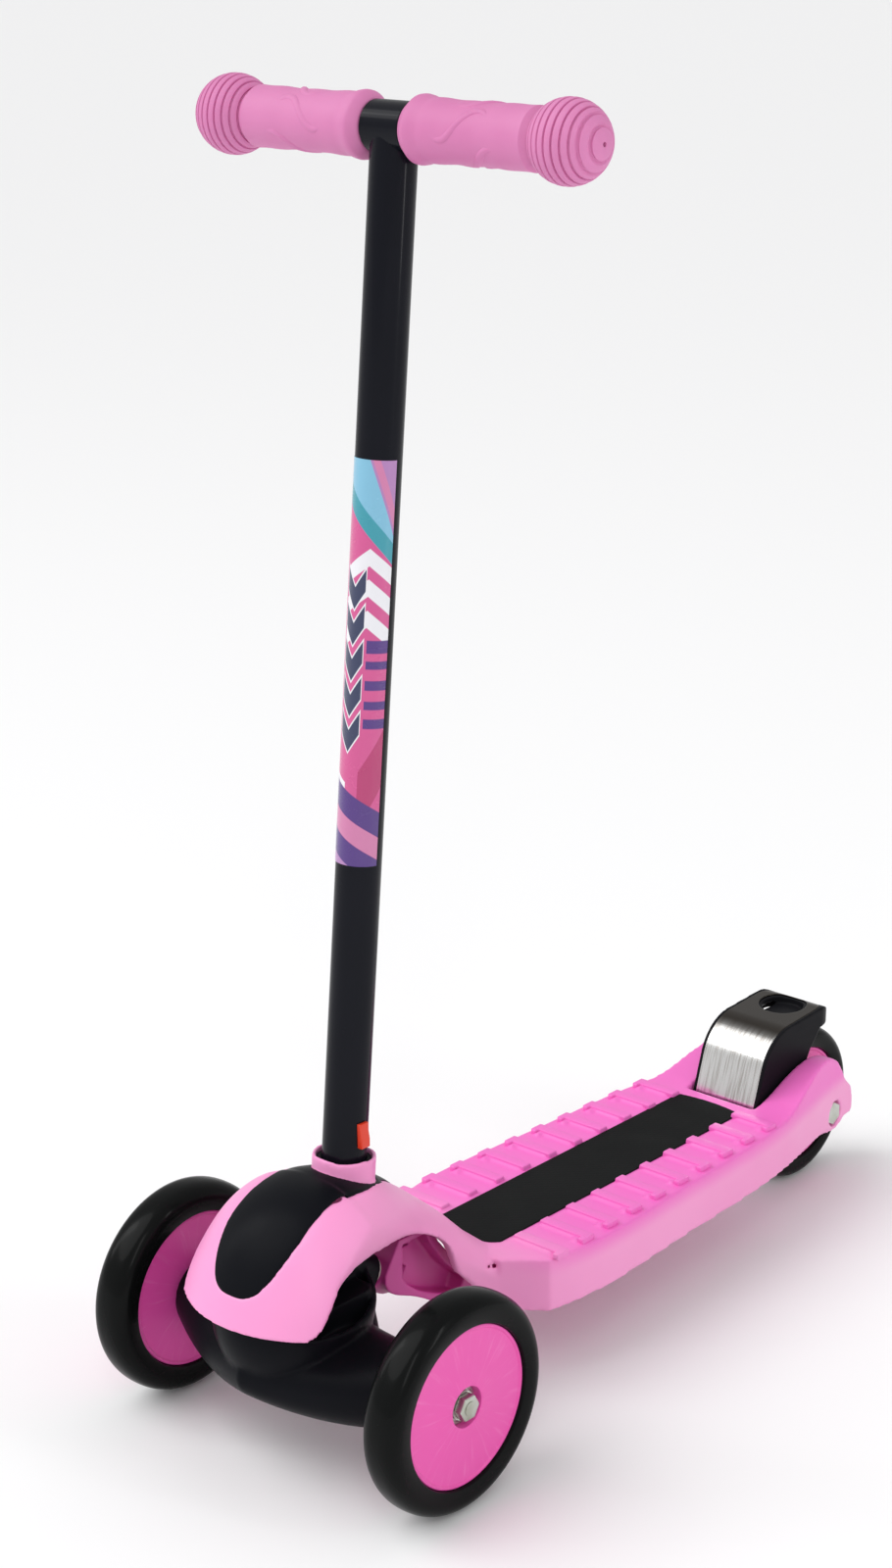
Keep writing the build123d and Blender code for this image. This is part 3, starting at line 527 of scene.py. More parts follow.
WRAP_MAP = "wrap"
DIM = 0.05
SKY = (0.20, 0.48, 0.66)
TEAL = (0.03, 0.30, 0.38)
LILAC = (0.42, 0.20, 0.46)
WHITE = (0.80, 0.80, 0.84)
ROSE = (0.62, 0.08, 0.27)
CRIMSON = (0.45, 0.03, 0.15)
PURPLE = (0.07, 0.02, 0.20)
BLUSH = (0.60, 0.19, 0.38)
NAVY = (0.02, 0.03, 0.09)


def wrap_layers() -> tuple[PrintLayer, ...]:
    """The printed bands from bottom layer to top layer."""
    bands = [
        PrintLayer(SKY, 0.749, 2.0, -0.20),
        PrintLayer(TEAL, 0.749, 0.800, -0.20),
        PrintLayer(LILAC, 0.818, 2.0, -0.50),
        PrintLayer(BLUSH, 0.835, 0.885, -0.50),
    ]
    for low in (0.746, 0.672, 0.596):
        bands.append(PrintLayer(WHITE, low, low + 0.042, 0.15, 0.31, right=0.66))
    for low, high in ((0.533, 0.565), (0.494, 0.514), (0.442, 0.466), (0.394, 0.415), (0.347, 0.371)):
        bands.append(PrintLayer(PURPLE, low, high, right=0.30))
    for index in range(5):
        low = 0.285 + 0.088 * index
        bands.append(PrintLayer(WHITE, low - 0.006, low + 0.060, -0.30, 0.50, left=0.335, right=0.665))
        bands.append(PrintLayer(NAVY, low, low + 0.054, -0.30, 0.50, left=0.345, right=0.655))
    bands += [
        PrintLayer(CRIMSON, 0.200, 0.345, 0.32, right=0.335),
        PrintLayer(WHITE, 0.135, 0.150, -0.11, left=0.52),
        PrintLayer(PURPLE, 0.071, 0.135, -0.11),
        PrintLayer(BLUSH, 0.015, 0.071, -0.11),
        PrintLayer(PURPLE, -1.0, 0.015, -0.11),
        PrintLayer(LILAC, -1.0, -0.045, -0.11),
    ]
    return tuple(bands)


PINK = ShellFinish("moulding pink", (0.93, 0.34, 0.64), (0.90, 0.31, 0.61), (0.36, 0.46), 1500.0, 0.00003,
                   soft=0.05)
COVER_BLACK = Finish("cover black", (0.0045, 0.005, 0.007), (0.006, 0.0065, 0.009), (0.30, 0.40), shine=DIM)
# The keel's pink is darkened to a deep magenta as painted shade, for the shadow under the deck's flange.
SHADED_KEEL_PINK = Finish("keel pink painted shade", (0.60, 0.06, 0.32), (0.54, 0.045, 0.28), (0.34, 0.44), soft=0.04)
MAT_BLACK = MatFinish("mat black", (0.008, 0.0085, 0.009), (0.013, 0.014, 0.0135), (0.62, 0.74),
                      2400.0, 0.00008, shine=DIM)
BAR_BLACK = Finish("bar black", (0.005, 0.0055, 0.009), (0.006, 0.0065, 0.011), (0.20, 0.28),
                   900.0, 0.00001, 0.15, shine=DIM)
GRIP_PINK = Finish("grip rubber", (0.66, 0.21, 0.44), (0.61, 0.17, 0.39), (0.52, 0.62), 1700.0,
                   0.00005, soft=0.08)
SLEEVE_BLACK = Finish("sleeve black", (0.006, 0.006, 0.008), (0.01, 0.01, 0.012), (0.45, 0.55), shine=DIM)
BUTTON_RED = Finish("button orange", (0.78, 0.045, 0.012), (0.70, 0.035, 0.01), (0.30, 0.38))
TRUCK_BLACK = Finish("truck black", (0.0045, 0.005, 0.007), (0.007, 0.0075, 0.010), (0.30, 0.42),
                     1300.0, 0.00004, shine=DIM)
TYRE_BLACK = Finish("tyre black", (0.004, 0.0045, 0.0045), (0.005, 0.0055, 0.0055), (0.22, 0.29),
                    700.0, 0.00001, 0.06, shine=DIM)
BRAKE_BLACK = Finish("brake black", (0.006, 0.006, 0.008), (0.010, 0.010, 0.012), (0.36, 0.48), shine=DIM)
NYLON = Finish("natural nylon", (0.70, 0.68, 0.62), (0.62, 0.60, 0.54), (0.45, 0.55), soft=0.1)
ELASTOMER = Finish("elastomer", (0.03, 0.03, 0.032), (0.045, 0.045, 0.047), (0.6, 0.7))
ZINC = MetalFinish("zinc plate", (0.62, 0.64, 0.60), (0.40, 0.42, 0.34), (0.24, 0.40), relief=0.00002)
# The pressed plate's top carries a painted dark reflection.
PRESSED = PlateFinish("pressed steel", (0.86, 0.86, 0.85), (0.48, 0.45, 0.42), (0.14, 0.26), relief=0.00005,
                      lines=(700.0, 30.0, 30.0))
WIRE = MetalFinish("spring wire", (0.45, 0.45, 0.46), (0.30, 0.30, 0.31), (0.28, 0.40))
WRAP = WrapFinish("printed wrap", ROSE, ROSE, (0.22, 0.30), 900.0, 0.00001, 0.5, layers=wrap_layers())


# ------------------------------------------------------------------ making pieces
def clear_selection() -> None:
    """Deselects everything, so an operator acts on nothing by mistake."""
    bpy.ops.object.select_all(action="DESELECT")


def select_only(piece: Piece) -> None:
    """Selects one piece and makes it active."""
    clear_selection()
    piece.select_set(True)
    bpy.context.view_layer.objects.active = piece


def named(name: str) -> Piece:
    """The primitive just added, with its name."""
    piece = bpy.context.active_object
    piece.name = name
    piece.data.name = name
    return piece


def edit(on: bool) -> None:
    """Enters or leaves edit mode."""
    bpy.ops.object.mode_set(mode="EDIT" if on else "OBJECT")


def heal() -> None:
    """In edit mode: merges doubles and turns faces outwards."""
    bpy.ops.mesh.select_all(action="SELECT")
    bpy.ops.mesh.remove_doubles(threshold=DOUBLES)
    bpy.ops.mesh.normals_make_consistent(inside=False)


def place_mesh(piece: Piece, place: Matrix) -> Piece:
    """Puts a piece's mesh at its place, and leaves its object at the origin.

    Args:
        piece: the piece to place.
        place: where its own frame goes.

    Returns:
        The same piece.
    """
    select_only(piece)
    piece.matrix_world = place @ piece.matrix_world
    bpy.ops.object.transform_apply(location=True, rotation=True, scale=True)
    return piece


def modify(piece: Piece, kind: str, **settings: object) -> Piece:
    """Adds one modifier and applies it.

    Args:
        piece: the piece to change.
        kind: the modifier's type.
        **settings: its settings by name.

    Returns:
        The same piece.
    """
    select_only(piece)
    modifier = piece.modifiers.new(kind.title(), kind)
    for key, value in settings.items():
        setattr(modifier, key, value)
    bpy.ops.object.modifier_apply(modifier=modifier.name)
    return piece


def smooth(piece: Piece, angle: float = 35.0) -> Piece:
    """Smooth shading that keeps the sharper edges.

    Args:
        piece: the piece to shade.
        angle: angle in degrees past which an edge stays sharp.

    Returns:
        The same piece.
    """
    select_only(piece)
    bpy.ops.object.shade_smooth_by_angle(angle=math.radians(angle))
    return piece


def trace(name: str, points: Sequence[Vector]) -> Piece:
    """An edge chain drawn from point to point.

    Args:
        name: the piece's name.
        points: corners in the piece's own frame.

    Returns:
        A piece left in edit mode with the whole chain selected.
    """
    clear_selection()
    bpy.ops.mesh.primitive_plane_add(size=0.001)
    piece = named(name)
    edit(True)
    bpy.ops.mesh.merge(type="CENTER")
    bpy.ops.transform.translate(value=points[0])
    for before, after in zip(points, points[1:]):
        bpy.ops.mesh.extrude_region_move(TRANSFORM_OT_translate={"value": after - before})
    bpy.ops.mesh.select_all(action="SELECT")
    return piece


def lathe(name: str, profile: Sequence[Point2], place: Matrix, steps: int = 96,
          axis: Axis = Axis.X) -> Piece:
    """A piece turned about its axis.

    Args:
        name: the piece's name.
        profile: (distance along the axis, radius) corners in millimetres.
        place: where the axis' origin goes.
        steps: facets round the turn.
        axis: direction of the axis before it is placed.

    Returns:
        The placed piece.
    """
    piece = trace(name, [Vector((along * MM, 0, radius * MM)) for along, radius in profile])
    bpy.ops.mesh.spin(steps=steps, angle=TAU, center=(0, 0, 0), axis=(1, 0, 0))
    heal()
    edit(False)
    turn = Matrix.Rotation(-TAU / 4, 4, "Y") if axis is Axis.Z else Matrix.Identity(4)
    place_mesh(piece, place @ turn)
    return smooth(piece)


def bend(centre: Point2, radius: float, first: float, last: float, count: int) -> list[Point2]:
    """Points of an arc.

    Args:
        centre: the arc's middle.
        radius: its radius.
        first: angle of its first point in degrees.
        last: angle of its last point in degrees.
        count: how many steps it has.

    Returns:
        The points in order.
    """
    angles = [math.radians(first + (last - first) * i / count) for i in range(count + 1)]
    return [(centre[0] + radius * math.cos(a), centre[1] + radius * math.sin(a)) for a in angles]


def softened(node: str, name: str, voxel: float, passes: int, most: int = 190000) -> Piece:
    """A copy of a CAD node with moulded, rounded edges and flowing joins.

    Args:
        node: the CAD node.
        name: the new piece's name.
        voxel: grid size in millimetres.
        passes: smoothing passes.
        most: largest number of triangles.

    Returns:
        The rounded copy.
    """
    clear_selection()
    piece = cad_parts[node].copy()
    piece.data = piece.data.copy()
    piece.data.materials.clear()
    for key in list(piece.keys()):
        del piece[key]
    piece.parent = None
    bpy.context.scene.collection.objects.link(piece)
    piece.name = name
    piece.data.name = name
    select_only(piece)
    edit(True)
    bpy.ops.mesh.select_all(action="SELECT")
    bpy.ops.mesh.remove_doubles(threshold=DOUBLES)
    edit(False)
    modify(piece, "REMESH", mode="VOXEL", voxel_size=voxel * MM, use_smooth_shade=True)
    modify(piece, "SMOOTH", factor=0.5, iterations=passes)
    triangles = 2 * len(piece.data.polygons)
    if triangles > most:
        modify(piece, "DECIMATE", ratio=most / triangles)
    select_only(piece)
    bpy.ops.object.shade_smooth()
    return piece


def fair(piece: Piece, low: Vector, high: Vector, margin: float, passes: int,
         spare: float = 0.0) -> Piece:
    """Smooths one region of a piece, fading out over a margin.

    Args:
        piece: the piece to smooth.
        low: lowest corner of the region in millimetres.
        high: highest corner of the region in millimetres.
        margin: width of the fade in millimetres.
        passes: smoothing passes.
        spare: radius round the stem's collar that is left as it is, in millimetres.

    Returns:
        The same piece.
    """
    group = piece.vertex_groups.new(name="fair")
    for vertex in piece.data.vertices:
        spot = vertex.co / MM
        inside = min(min(spot[i] - low[i], high[i] - spot[i]) for i in range(3))
        if spare:
            inside = min(inside, math.hypot(spot.x, spot.y - COLLAR_Y) - spare)
        weight = min(1.0, max(0.0, inside / margin))
        if weight > 0:
            group.add([vertex.index], weight, "REPLACE")
    modify(piece, "SMOOTH", factor=0.5, iterations=passes, vertex_group=group.name)
    piece.vertex_groups.clear()
    return piece


def publish(piece: Piece, body: Body, slot: Slot, finish: Finish,
            replaced: Iterable[str] = ()) -> Piece:
    """Dresses a finished piece, hangs it on its body and reports it.

    Args:
        piece: the finished piece.
        body: the body it rides on.
        slot: the record's material slot; not used.
        finish: its finish.
        replaced: CAD nodes that it stands for.

    Returns:
        The same piece.
    """
    piece.data.materials.clear()
    piece.data.materials.append(finish.material())
    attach(piece, body.value)
    nodes = list(replaced)
    if nodes:
        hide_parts(*nodes)
    LOG.info("%s rides on %s, %d faces", piece.name, body.value, len(piece.data.polygons))
    return piece


def keep_node(node: str, finish: Finish) -> None:
    """Leaves a CAD node showing and gives it a detailed finish.

    Args:
        node: the CAD node.
        finish: its finish.
    """
    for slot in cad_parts[node].material_slots:
        slot.material = finish.material()
    LOG.info("%s keeps its CAD shape", node)


def hexagon(name: str, across: float, thick: float, place: Matrix) -> Piece:
    """A hexagon nut or bolt head with chamfered corners, its axis along local X.

    Args:
        name: the piece's name.
        across: size across flats in millimetres.
        thick: thickness in millimetres.
        place: place of its middle.

    Returns:
        The placed piece.
    """
    clear_selection()
    radius = across / math.sqrt(3) * MM
    bpy.ops.mesh.primitive_cylinder_add(vertices=6, radius=radius, depth=thick * MM, rotation=(0, TAU / 4, 0))
    piece = named(name)
    bpy.ops.object.transform_apply(rotation=True)
    edit(True)
    bpy.ops.mesh.select_all(action="SELECT")
    bpy.ops.mesh.bevel(offset=0.07 * across * MM, segments=3)
    heal()
    edit(False)
    return smooth(place_mesh(piece, place), 25.0)


# ------------------------------------------------------------------ sub-assemblies
@dataclass
class DeckBody:
    """The pink moulding with its nose cover, keel and foot mat."""

    shell_grid: float = 1.25
    cover_grid: float = 0.6
    keel_grid: float = 0.8
    mat_grid: float = 0.5
    hood_low: tuple[float, float, float] = (-80, -250, 99)
    hood_high: tuple[float, float, float] = (80, -145, 172)
    hood_passes: int = 40
    hood_fade: float = 10.0
    collar_spare: float = 19.0
    neck_low: tuple[float, float, float] = (-75, -125, 38)
    neck_high: tuple[float, float, float] = (75, -72, 90)
    neck_passes: int = 4
    neck_fade: float = 12.0
    tread_count: int = 10
    tread_pitch: float = 23.6
    tread_start: float = -79.0
    tread_y: float = 8.0
    tread_inner: float = 26.0
    tread_outer: float = 57.5
    tread_taper: float = 0.045
    tread_base: float = 76.2
    tread_top: float = 80.0
    tread_round: float = 0.9
    hook: float = 4.2

    def build(self) -> None:
        """Builds and hangs the deck's pieces."""
        shell = softened("deck_shell", "Deck_Moulding", self.shell_grid, 4)
        self.round_hood(shell)
        fair(shell, Vector(self.neck_low), Vector(self.neck_high), self.neck_fade, self.neck_passes)
        publish(shell, Body.DECK, Slot.SHELL, PINK, ["deck_shell"])
        cover = softened("nose_cover", "Nose_Cover", self.cover_grid, 3)
        self.round_hood(cover)
        publish(cover, Body.DECK, Slot.COVER, COVER_BLACK, ["nose_cover"])
        # The keel takes the darker pink finish that carries its painted shade.
        keel = softened("neck_keel", "Neck_Keel", self.keel_grid, 4)
        publish(keel, Body.DECK, Slot.KEEL, SHADED_KEEL_PINK, ["neck_keel"])
        self.treads()
        self.mat()

    def round_hood(self, piece: Piece) -> None:
        """Smooths the hood's dome, apart from the collar that the stem stands in.

        Args:
            piece: the shell or the cover let into it.
        """
        fair(piece, Vector(self.hood_low), Vector(self.hood_high), self.hood_fade, self.hood_passes,
             self.collar_spare)

    def tread(self) -> Piece:
        """One anti-slip bar with a hooked, rounded outer end, at the row's start on the left."""
        clear_selection()
        size = Vector((self.tread_outer - self.tread_inner, self.tread_y,
                       self.tread_top - self.tread_base)) * MM
        middle = Vector((self.tread_outer + self.tread_inner, 2 * self.tread_start + self.tread_y,
                         self.tread_top + self.tread_base)) * MM / 2
        bpy.ops.mesh.primitive_cube_add(size=1, location=middle, scale=size)
        piece = named("Tread")
        bpy.ops.object.transform_apply(location=True, scale=True)
        edit(True)
        bpy.ops.mesh.select_all(action="DESELECT")
        edit(False)
        for face in piece.data.polygons:
            face.select = face.normal.x > 0.9
        edit(True)
        bpy.ops.mesh.extrude_region_move(TRANSFORM_OT_translate={"value": (self.hook * MM, 0, 0)})
        edit(False)
        for face in piece.data.polygons:
            face.select = face.normal.y < -0.9 and face.center.x > self.tread_outer * MM
        edit(True)
        bpy.ops.mesh.extrude_region_move(TRANSFORM_OT_translate={"value": (0, -self.hook * MM, 0)})
        edit(False)
        for face in piece.data.polygons:
            face.select = face.normal.z > 0.9
        edit(True)
        bpy.ops.transform.resize(value=(0.97, 0.86, 1.0))
        heal()
        edit(False)
        modify(piece, "BEVEL", width=self.tread_round * MM, segments=3)
        return smooth(piece, 50.0)

    def treads(self) -> None:
        """Both rows of bars, copied from one and joined to a row on each side."""
        first = self.tread()
        for side, label in ((1, "Left"), (-1, "Right")):
            row = []
            for index in range(self.tread_count):
                bar = first.copy()
                bar.data = first.data.copy()
                bpy.context.scene.collection.objects.link(bar)
                shrink = 1 - self.tread_taper * self.tread_pitch * index / self.tread_outer
                step = Matrix.Translation((0, self.tread_pitch * index * MM, 0))
                place_mesh(bar, step @ Matrix.Diagonal((side * shrink, 1, 1, 1)))
                row.append(bar)
            clear_selection()
            for bar in row:
                bar.select_set(True)
            bpy.context.view_layer.objects.active = row[0]
            bpy.ops.object.join()
            piece = named(f"Treads_{label}")
            edit(True)
            heal()
            edit(False)
            publish(piece, Body.DECK, Slot.SHELL, PINK)
        bpy.data.objects.remove(first)

    def mat(self) -> None:
        """The foot mat with a rounded edge."""
        piece = softened("foot_mat", "Foot_Mat", self.mat_grid, 2)
        publish(piece, Body.DECK, Slot.MAT, MAT_BLACK, ["foot_mat"])


@dataclass
class Handlebar:
    """The leaning stem, its crossbar, grips, printed wrap, sleeve and release button."""

    lean: float = 4.8
    bar_y: float = -143.0
    bar_z: float = 688.0
    stem_r: float = 12.0
    bar_r: float = 11.0
    bar_half: float = 108.0
    grip_start: float = 13.0
    grip_r: float = 14.6
    flange_r: float = 17.0
    ball_r: float = 20.5
    ball_x: float = 108.6
    ridge_r: float = 2.6
    ridge_sunk: float = 1.95
    tee_r: float = 12.9
    tee_half: float = 12.6
    wrap_low: float = 320.0
    wrap_high: float = 528.0
    wrap_sweep: float = 184.0
    wrap_t: float = 0.25
    wall: float = 1.5
    chamfer: float = 0.5
    sleeve_r: float = 14.9
    ridge_count: int = 5
    ridge_wave: float = 0.55
    button_flange: float = 2.5

    @property
    def place(self) -> Matrix:
        """The crossbar's middle, with local Z along the stem."""
        middle = Matrix.Translation((0, self.bar_y * MM, self.bar_z * MM))
        return middle @ Matrix.Rotation(math.radians(-self.lean), 4, "X")

    def down(self, height: float) -> float:
        """Distance along the stem, below the crossbar, of a height above the floor."""
        return (height - self.bar_z) / math.cos(math.radians(self.lean))

    def build(self) -> None:
        """Builds and hangs the handlebar's pieces."""
        self.tubes()
        self.grips()
        self.wrap()
        self.socket()
        self.button()

    def tubes(self) -> None:
        """The stem and crossbar tubes with open, chamfered ends."""
        low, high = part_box("stem_tube")
        foot = self.down(low.z / MM + 1.2)
        chamfer, wall, r = self.chamfer, self.wall, self.stem_r
        top = self.bar_r * 0.45
        profile = [(top, r - chamfer), (top - chamfer, r), (foot + chamfer, r), (foot, r - chamfer),
                   (foot, r - wall), (top, r - wall), (top, r - chamfer)]
        stem = lathe("Stem_Tube", profile, self.place, 72, Axis.Z)
        publish(stem, Body.DECK, Slot.BAR, BAR_BLACK, ["stem_tube"])
        half, r = self.bar_half, self.bar_r
        profile = [(-half, r - chamfer), (-half + chamfer, r)]
        tee = self.tee_r
        profile += [(-self.tee_half, r), (-self.tee_half, tee - chamfer), (-self.tee_half + chamfer, tee),
                    (self.tee_half - chamfer, tee), (self.tee_half, tee - chamfer), (self.tee_half, r)]
        profile += [(half - chamfer, r), (half, r - chamfer), (half, r - wall), (-half, r - wall),
                    (-half, r - chamfer)]
        bar = lathe("Cross_Tube", profile, self.place, 72)
        publish(bar, Body.DECK, Slot.BAR, BAR_BLACK, ["cross_tube"])

    def grip_profile(self) -> list[Point2]:
        """A grip's outline from its inner flange to its ball end."""
        start, ball, r = self.grip_start, self.ball_x, self.ball_r
        line = [(start, self.bar_r + 0.2), (start, self.bar_r + 1.6), (start + 0.5, self.bar_r + 2.6),
                (start + 4.0, self.flange_r - 0.8), (start + 4.8, self.flange_r - 0.2),
                (start + 6.5, self.flange_r),
                (start + 9.0, self.flange_r - 0.4), (start + 12.0, self.grip_r + 1.0)]
        swell = 24
        root = start + 12.0
        tail = ball - 18.5
        for index in range(1, swell):
            share = index / swell
            x = root + (tail - root) * share
            swell_r = 0.75 + 0.25 * math.cos(TAU * share) + 0.2 * math.sin(3 * TAU * share)
            line.append((x, self.grip_r + swell_r))
        line.append((tail, self.grip_r + 1.0))
        first, last, rings = 138.0, 55.0, 7
        for index in range(rings):
            for share, depth in ((0.0, 1.3), (0.14, 1.2), (0.22, 0.1), (0.4, 0.0), (0.75, 0.0),
                                 (0.92, 0.1)):
                angle = math.radians(first + (last - first) * (index + share) / rings)
                line.append((ball + (r - depth) * math.cos(angle), (r - depth) * math.sin(angle)))
        for groove, upto in ((last, 46.0), (42.5, 28.0), (24.5, 6.0)):
            for step, depth in ((0.0, 1.2), (2.2, 1.1), (2.8, 0.0)):
                angle = math.radians(groove - step)
                line.append((ball + (r - depth) * math.cos(angle), (r - depth) * math.sin(angle)))
            line += bend((ball, 0), r, groove - 5, upto, 5)
        tip = ball + r
        line += [(tip - 0.3, 1.2), (tip - 3.0, 1.1), (tip - 3.0, 0.0)]
        return line

    def grips(self) -> None:
        """Both grips with their moulded swirls."""
        bore_r, bore_end = self.bar_r + 0.2, self.bar_half + 0.4
        bore = [(bore_end, 0.0), (bore_end, bore_r), (self.grip_start, bore_r)]
        for side, label, body_node in ((1, "Left", "grip_left"), (-1, "Right", "grip_right")):
            piece = lathe(f"Grip_{label}", self.grip_profile() + bore, self.place, 112)
            if side < 0:
                centre = self.place
                flip = centre @ Matrix.Diagonal((-1, 1, 1, 1)) @ centre.inverted()
                place_mesh(piece, flip)
                edit(True)
                heal()
                edit(False)
                smooth(piece)
            publish(piece, Body.DECK, Slot.GRIP, GRIP_PINK, [body_node])
            self.swirls(side, label)

    def swirls(self, side: int, label: str) -> None:
        """Raised wave-shaped ridges along one grip, each a tapered round bar sunk into it.

        Args:
            side: 1 for the left grip and -1 for the right.
            label: the side's name.
        """
        ridges = []
        count = 16
        depth = self.grip_r + 0.8 - self.ridge_sunk
        for index in range(self.ridge_count):
            phase = TAU * index / self.ridge_count + 0.35
            points = []
            for step in range(count + 1):
                share = step / count
                angle = phase + self.ridge_wave * math.sin(TAU * share)
                x = side * (30 + 10 * (index % 2) + 42 * share)
                points.append(Vector((x, depth * math.cos(angle), depth * math.sin(angle))) * MM)
            ridge = trace(f"Ridge_{label}_{index}", points)
            edit(False)
            ridges.append(ridge)
        clear_selection()
        for ridge in ridges:
            ridge.select_set(True)
        bpy.context.view_layer.objects.active = ridges[0]
        bpy.ops.object.join()
        bpy.ops.object.convert(target="CURVE")
        piece = named(f"Grip_Swirls_{label}")
        piece.data.bevel_depth = self.ridge_r * MM
        piece.data.bevel_resolution = 3
        piece.data.use_fill_caps = True
        for spline in piece.data.splines:
            for index, point in enumerate(spline.points):
                point.radius = max(0.05, math.sin(math.pi * index / (len(spline.points) - 1)) ** 0.35)
        bpy.ops.object.convert(target="MESH")
        place_mesh(piece, self.place)
        edit(True)
        heal()
        edit(False)
        publish(smooth(piece, 60.0), Body.DECK, Slot.GRIP, GRIP_PINK)

    def wrap(self) -> None:
        """The printed film round the front of the stem, with its own map."""
        inner, outer = self.stem_r + 0.02, self.stem_r + self.wrap_t
        low, high = self.down(self.wrap_low), self.down(self.wrap_high)
        sweep = math.radians(self.wrap_sweep)
        clear_selection()
        piece = trace("Stem_Wrap", [Vector((outer * MM, 0, z * MM)) for z in (low, high)])
        bpy.ops.mesh.spin(steps=64, angle=sweep, center=(0, 0, 0), axis=(0, 0, 1))
        edit(False)
        modify(piece, "SOLIDIFY", thickness=(outer - inner) * MM, offset=-1.0)
        edit(True)
        heal()
        edit(False)
        chart = piece.data.uv_layers.new(name=WRAP_MAP)
        for loop in piece.data.loops:
            spot = piece.data.vertices[loop.vertex_index].co
            across = (-math.atan2(spot.y, spot.x) % TAU) / sweep
            chart.data[loop.index].uv = (across, (spot.z / MM - low) / (high - low))
        place_mesh(piece, self.place)
        publish(smooth(piece, 30.0), Body.DECK, Slot.DECAL, WRAP, ["stem_decal"])

    def socket(self) -> None:
        """The black sleeve that the stem stands in."""
        low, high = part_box("stem_sleeve")
        top = self.down(high.z / MM - 1.3)
        foot = self.down(low.z / MM + 1.3)
        r = self.stem_r + 0.05
        profile = [(foot, r), (foot, self.sleeve_r - 0.6), (foot + 0.6, self.sleeve_r),
                   (top - 1.0, self.sleeve_r), (top - 0.3, self.sleeve_r - 0.3),
                   (top, self.sleeve_r - 1.0), (top, r + 0.4), (top - 0.4, r), (foot, r)]
        sleeve = lathe("Stem_Sleeve", profile, self.place, 72, Axis.Z)
        publish(sleeve, Body.DECK, Slot.SLEEVE, SLEEVE_BLACK, ["stem_sleeve"])

    def button(self) -> None:
        """The spring button with its slanted face."""
        low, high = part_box("latch_button")
        flange = Vector((0.0, self.button_flange, self.button_flange)) * MM
        low, high = low + flange, high - flange
        clear_selection()
        middle = (low + high) / 2
        bpy.ops.mesh.primitive_cube_add(size=1, location=middle, scale=high - low)
        piece = named("Latch_Button")
        bpy.ops.object.transform_apply(location=True, scale=True)
        edit(True)
        bpy.ops.mesh.select_all(action="SELECT")
        bpy.ops.mesh.subdivide(number_cuts=2)
        bpy.ops.mesh.select_all(action="DESELECT")
        edit(False)
        outer = high.x - 0.2 * MM
        for vertex in piece.data.vertices:
            vertex.select = vertex.co.x > outer and vertex.co.z > middle.z
        edit(True)
        bpy.ops.transform.translate(value=(-0.9 * MM, 0, 0))
        heal()
        edit(False)
        modify(piece, "BEVEL", width=0.5 * MM, segments=3, limit_method="ANGLE")
        publish(smooth(piece, 40.0), Body.BUTTON, Slot.BUTTON, BUTTON_RED, ["latch_button"])


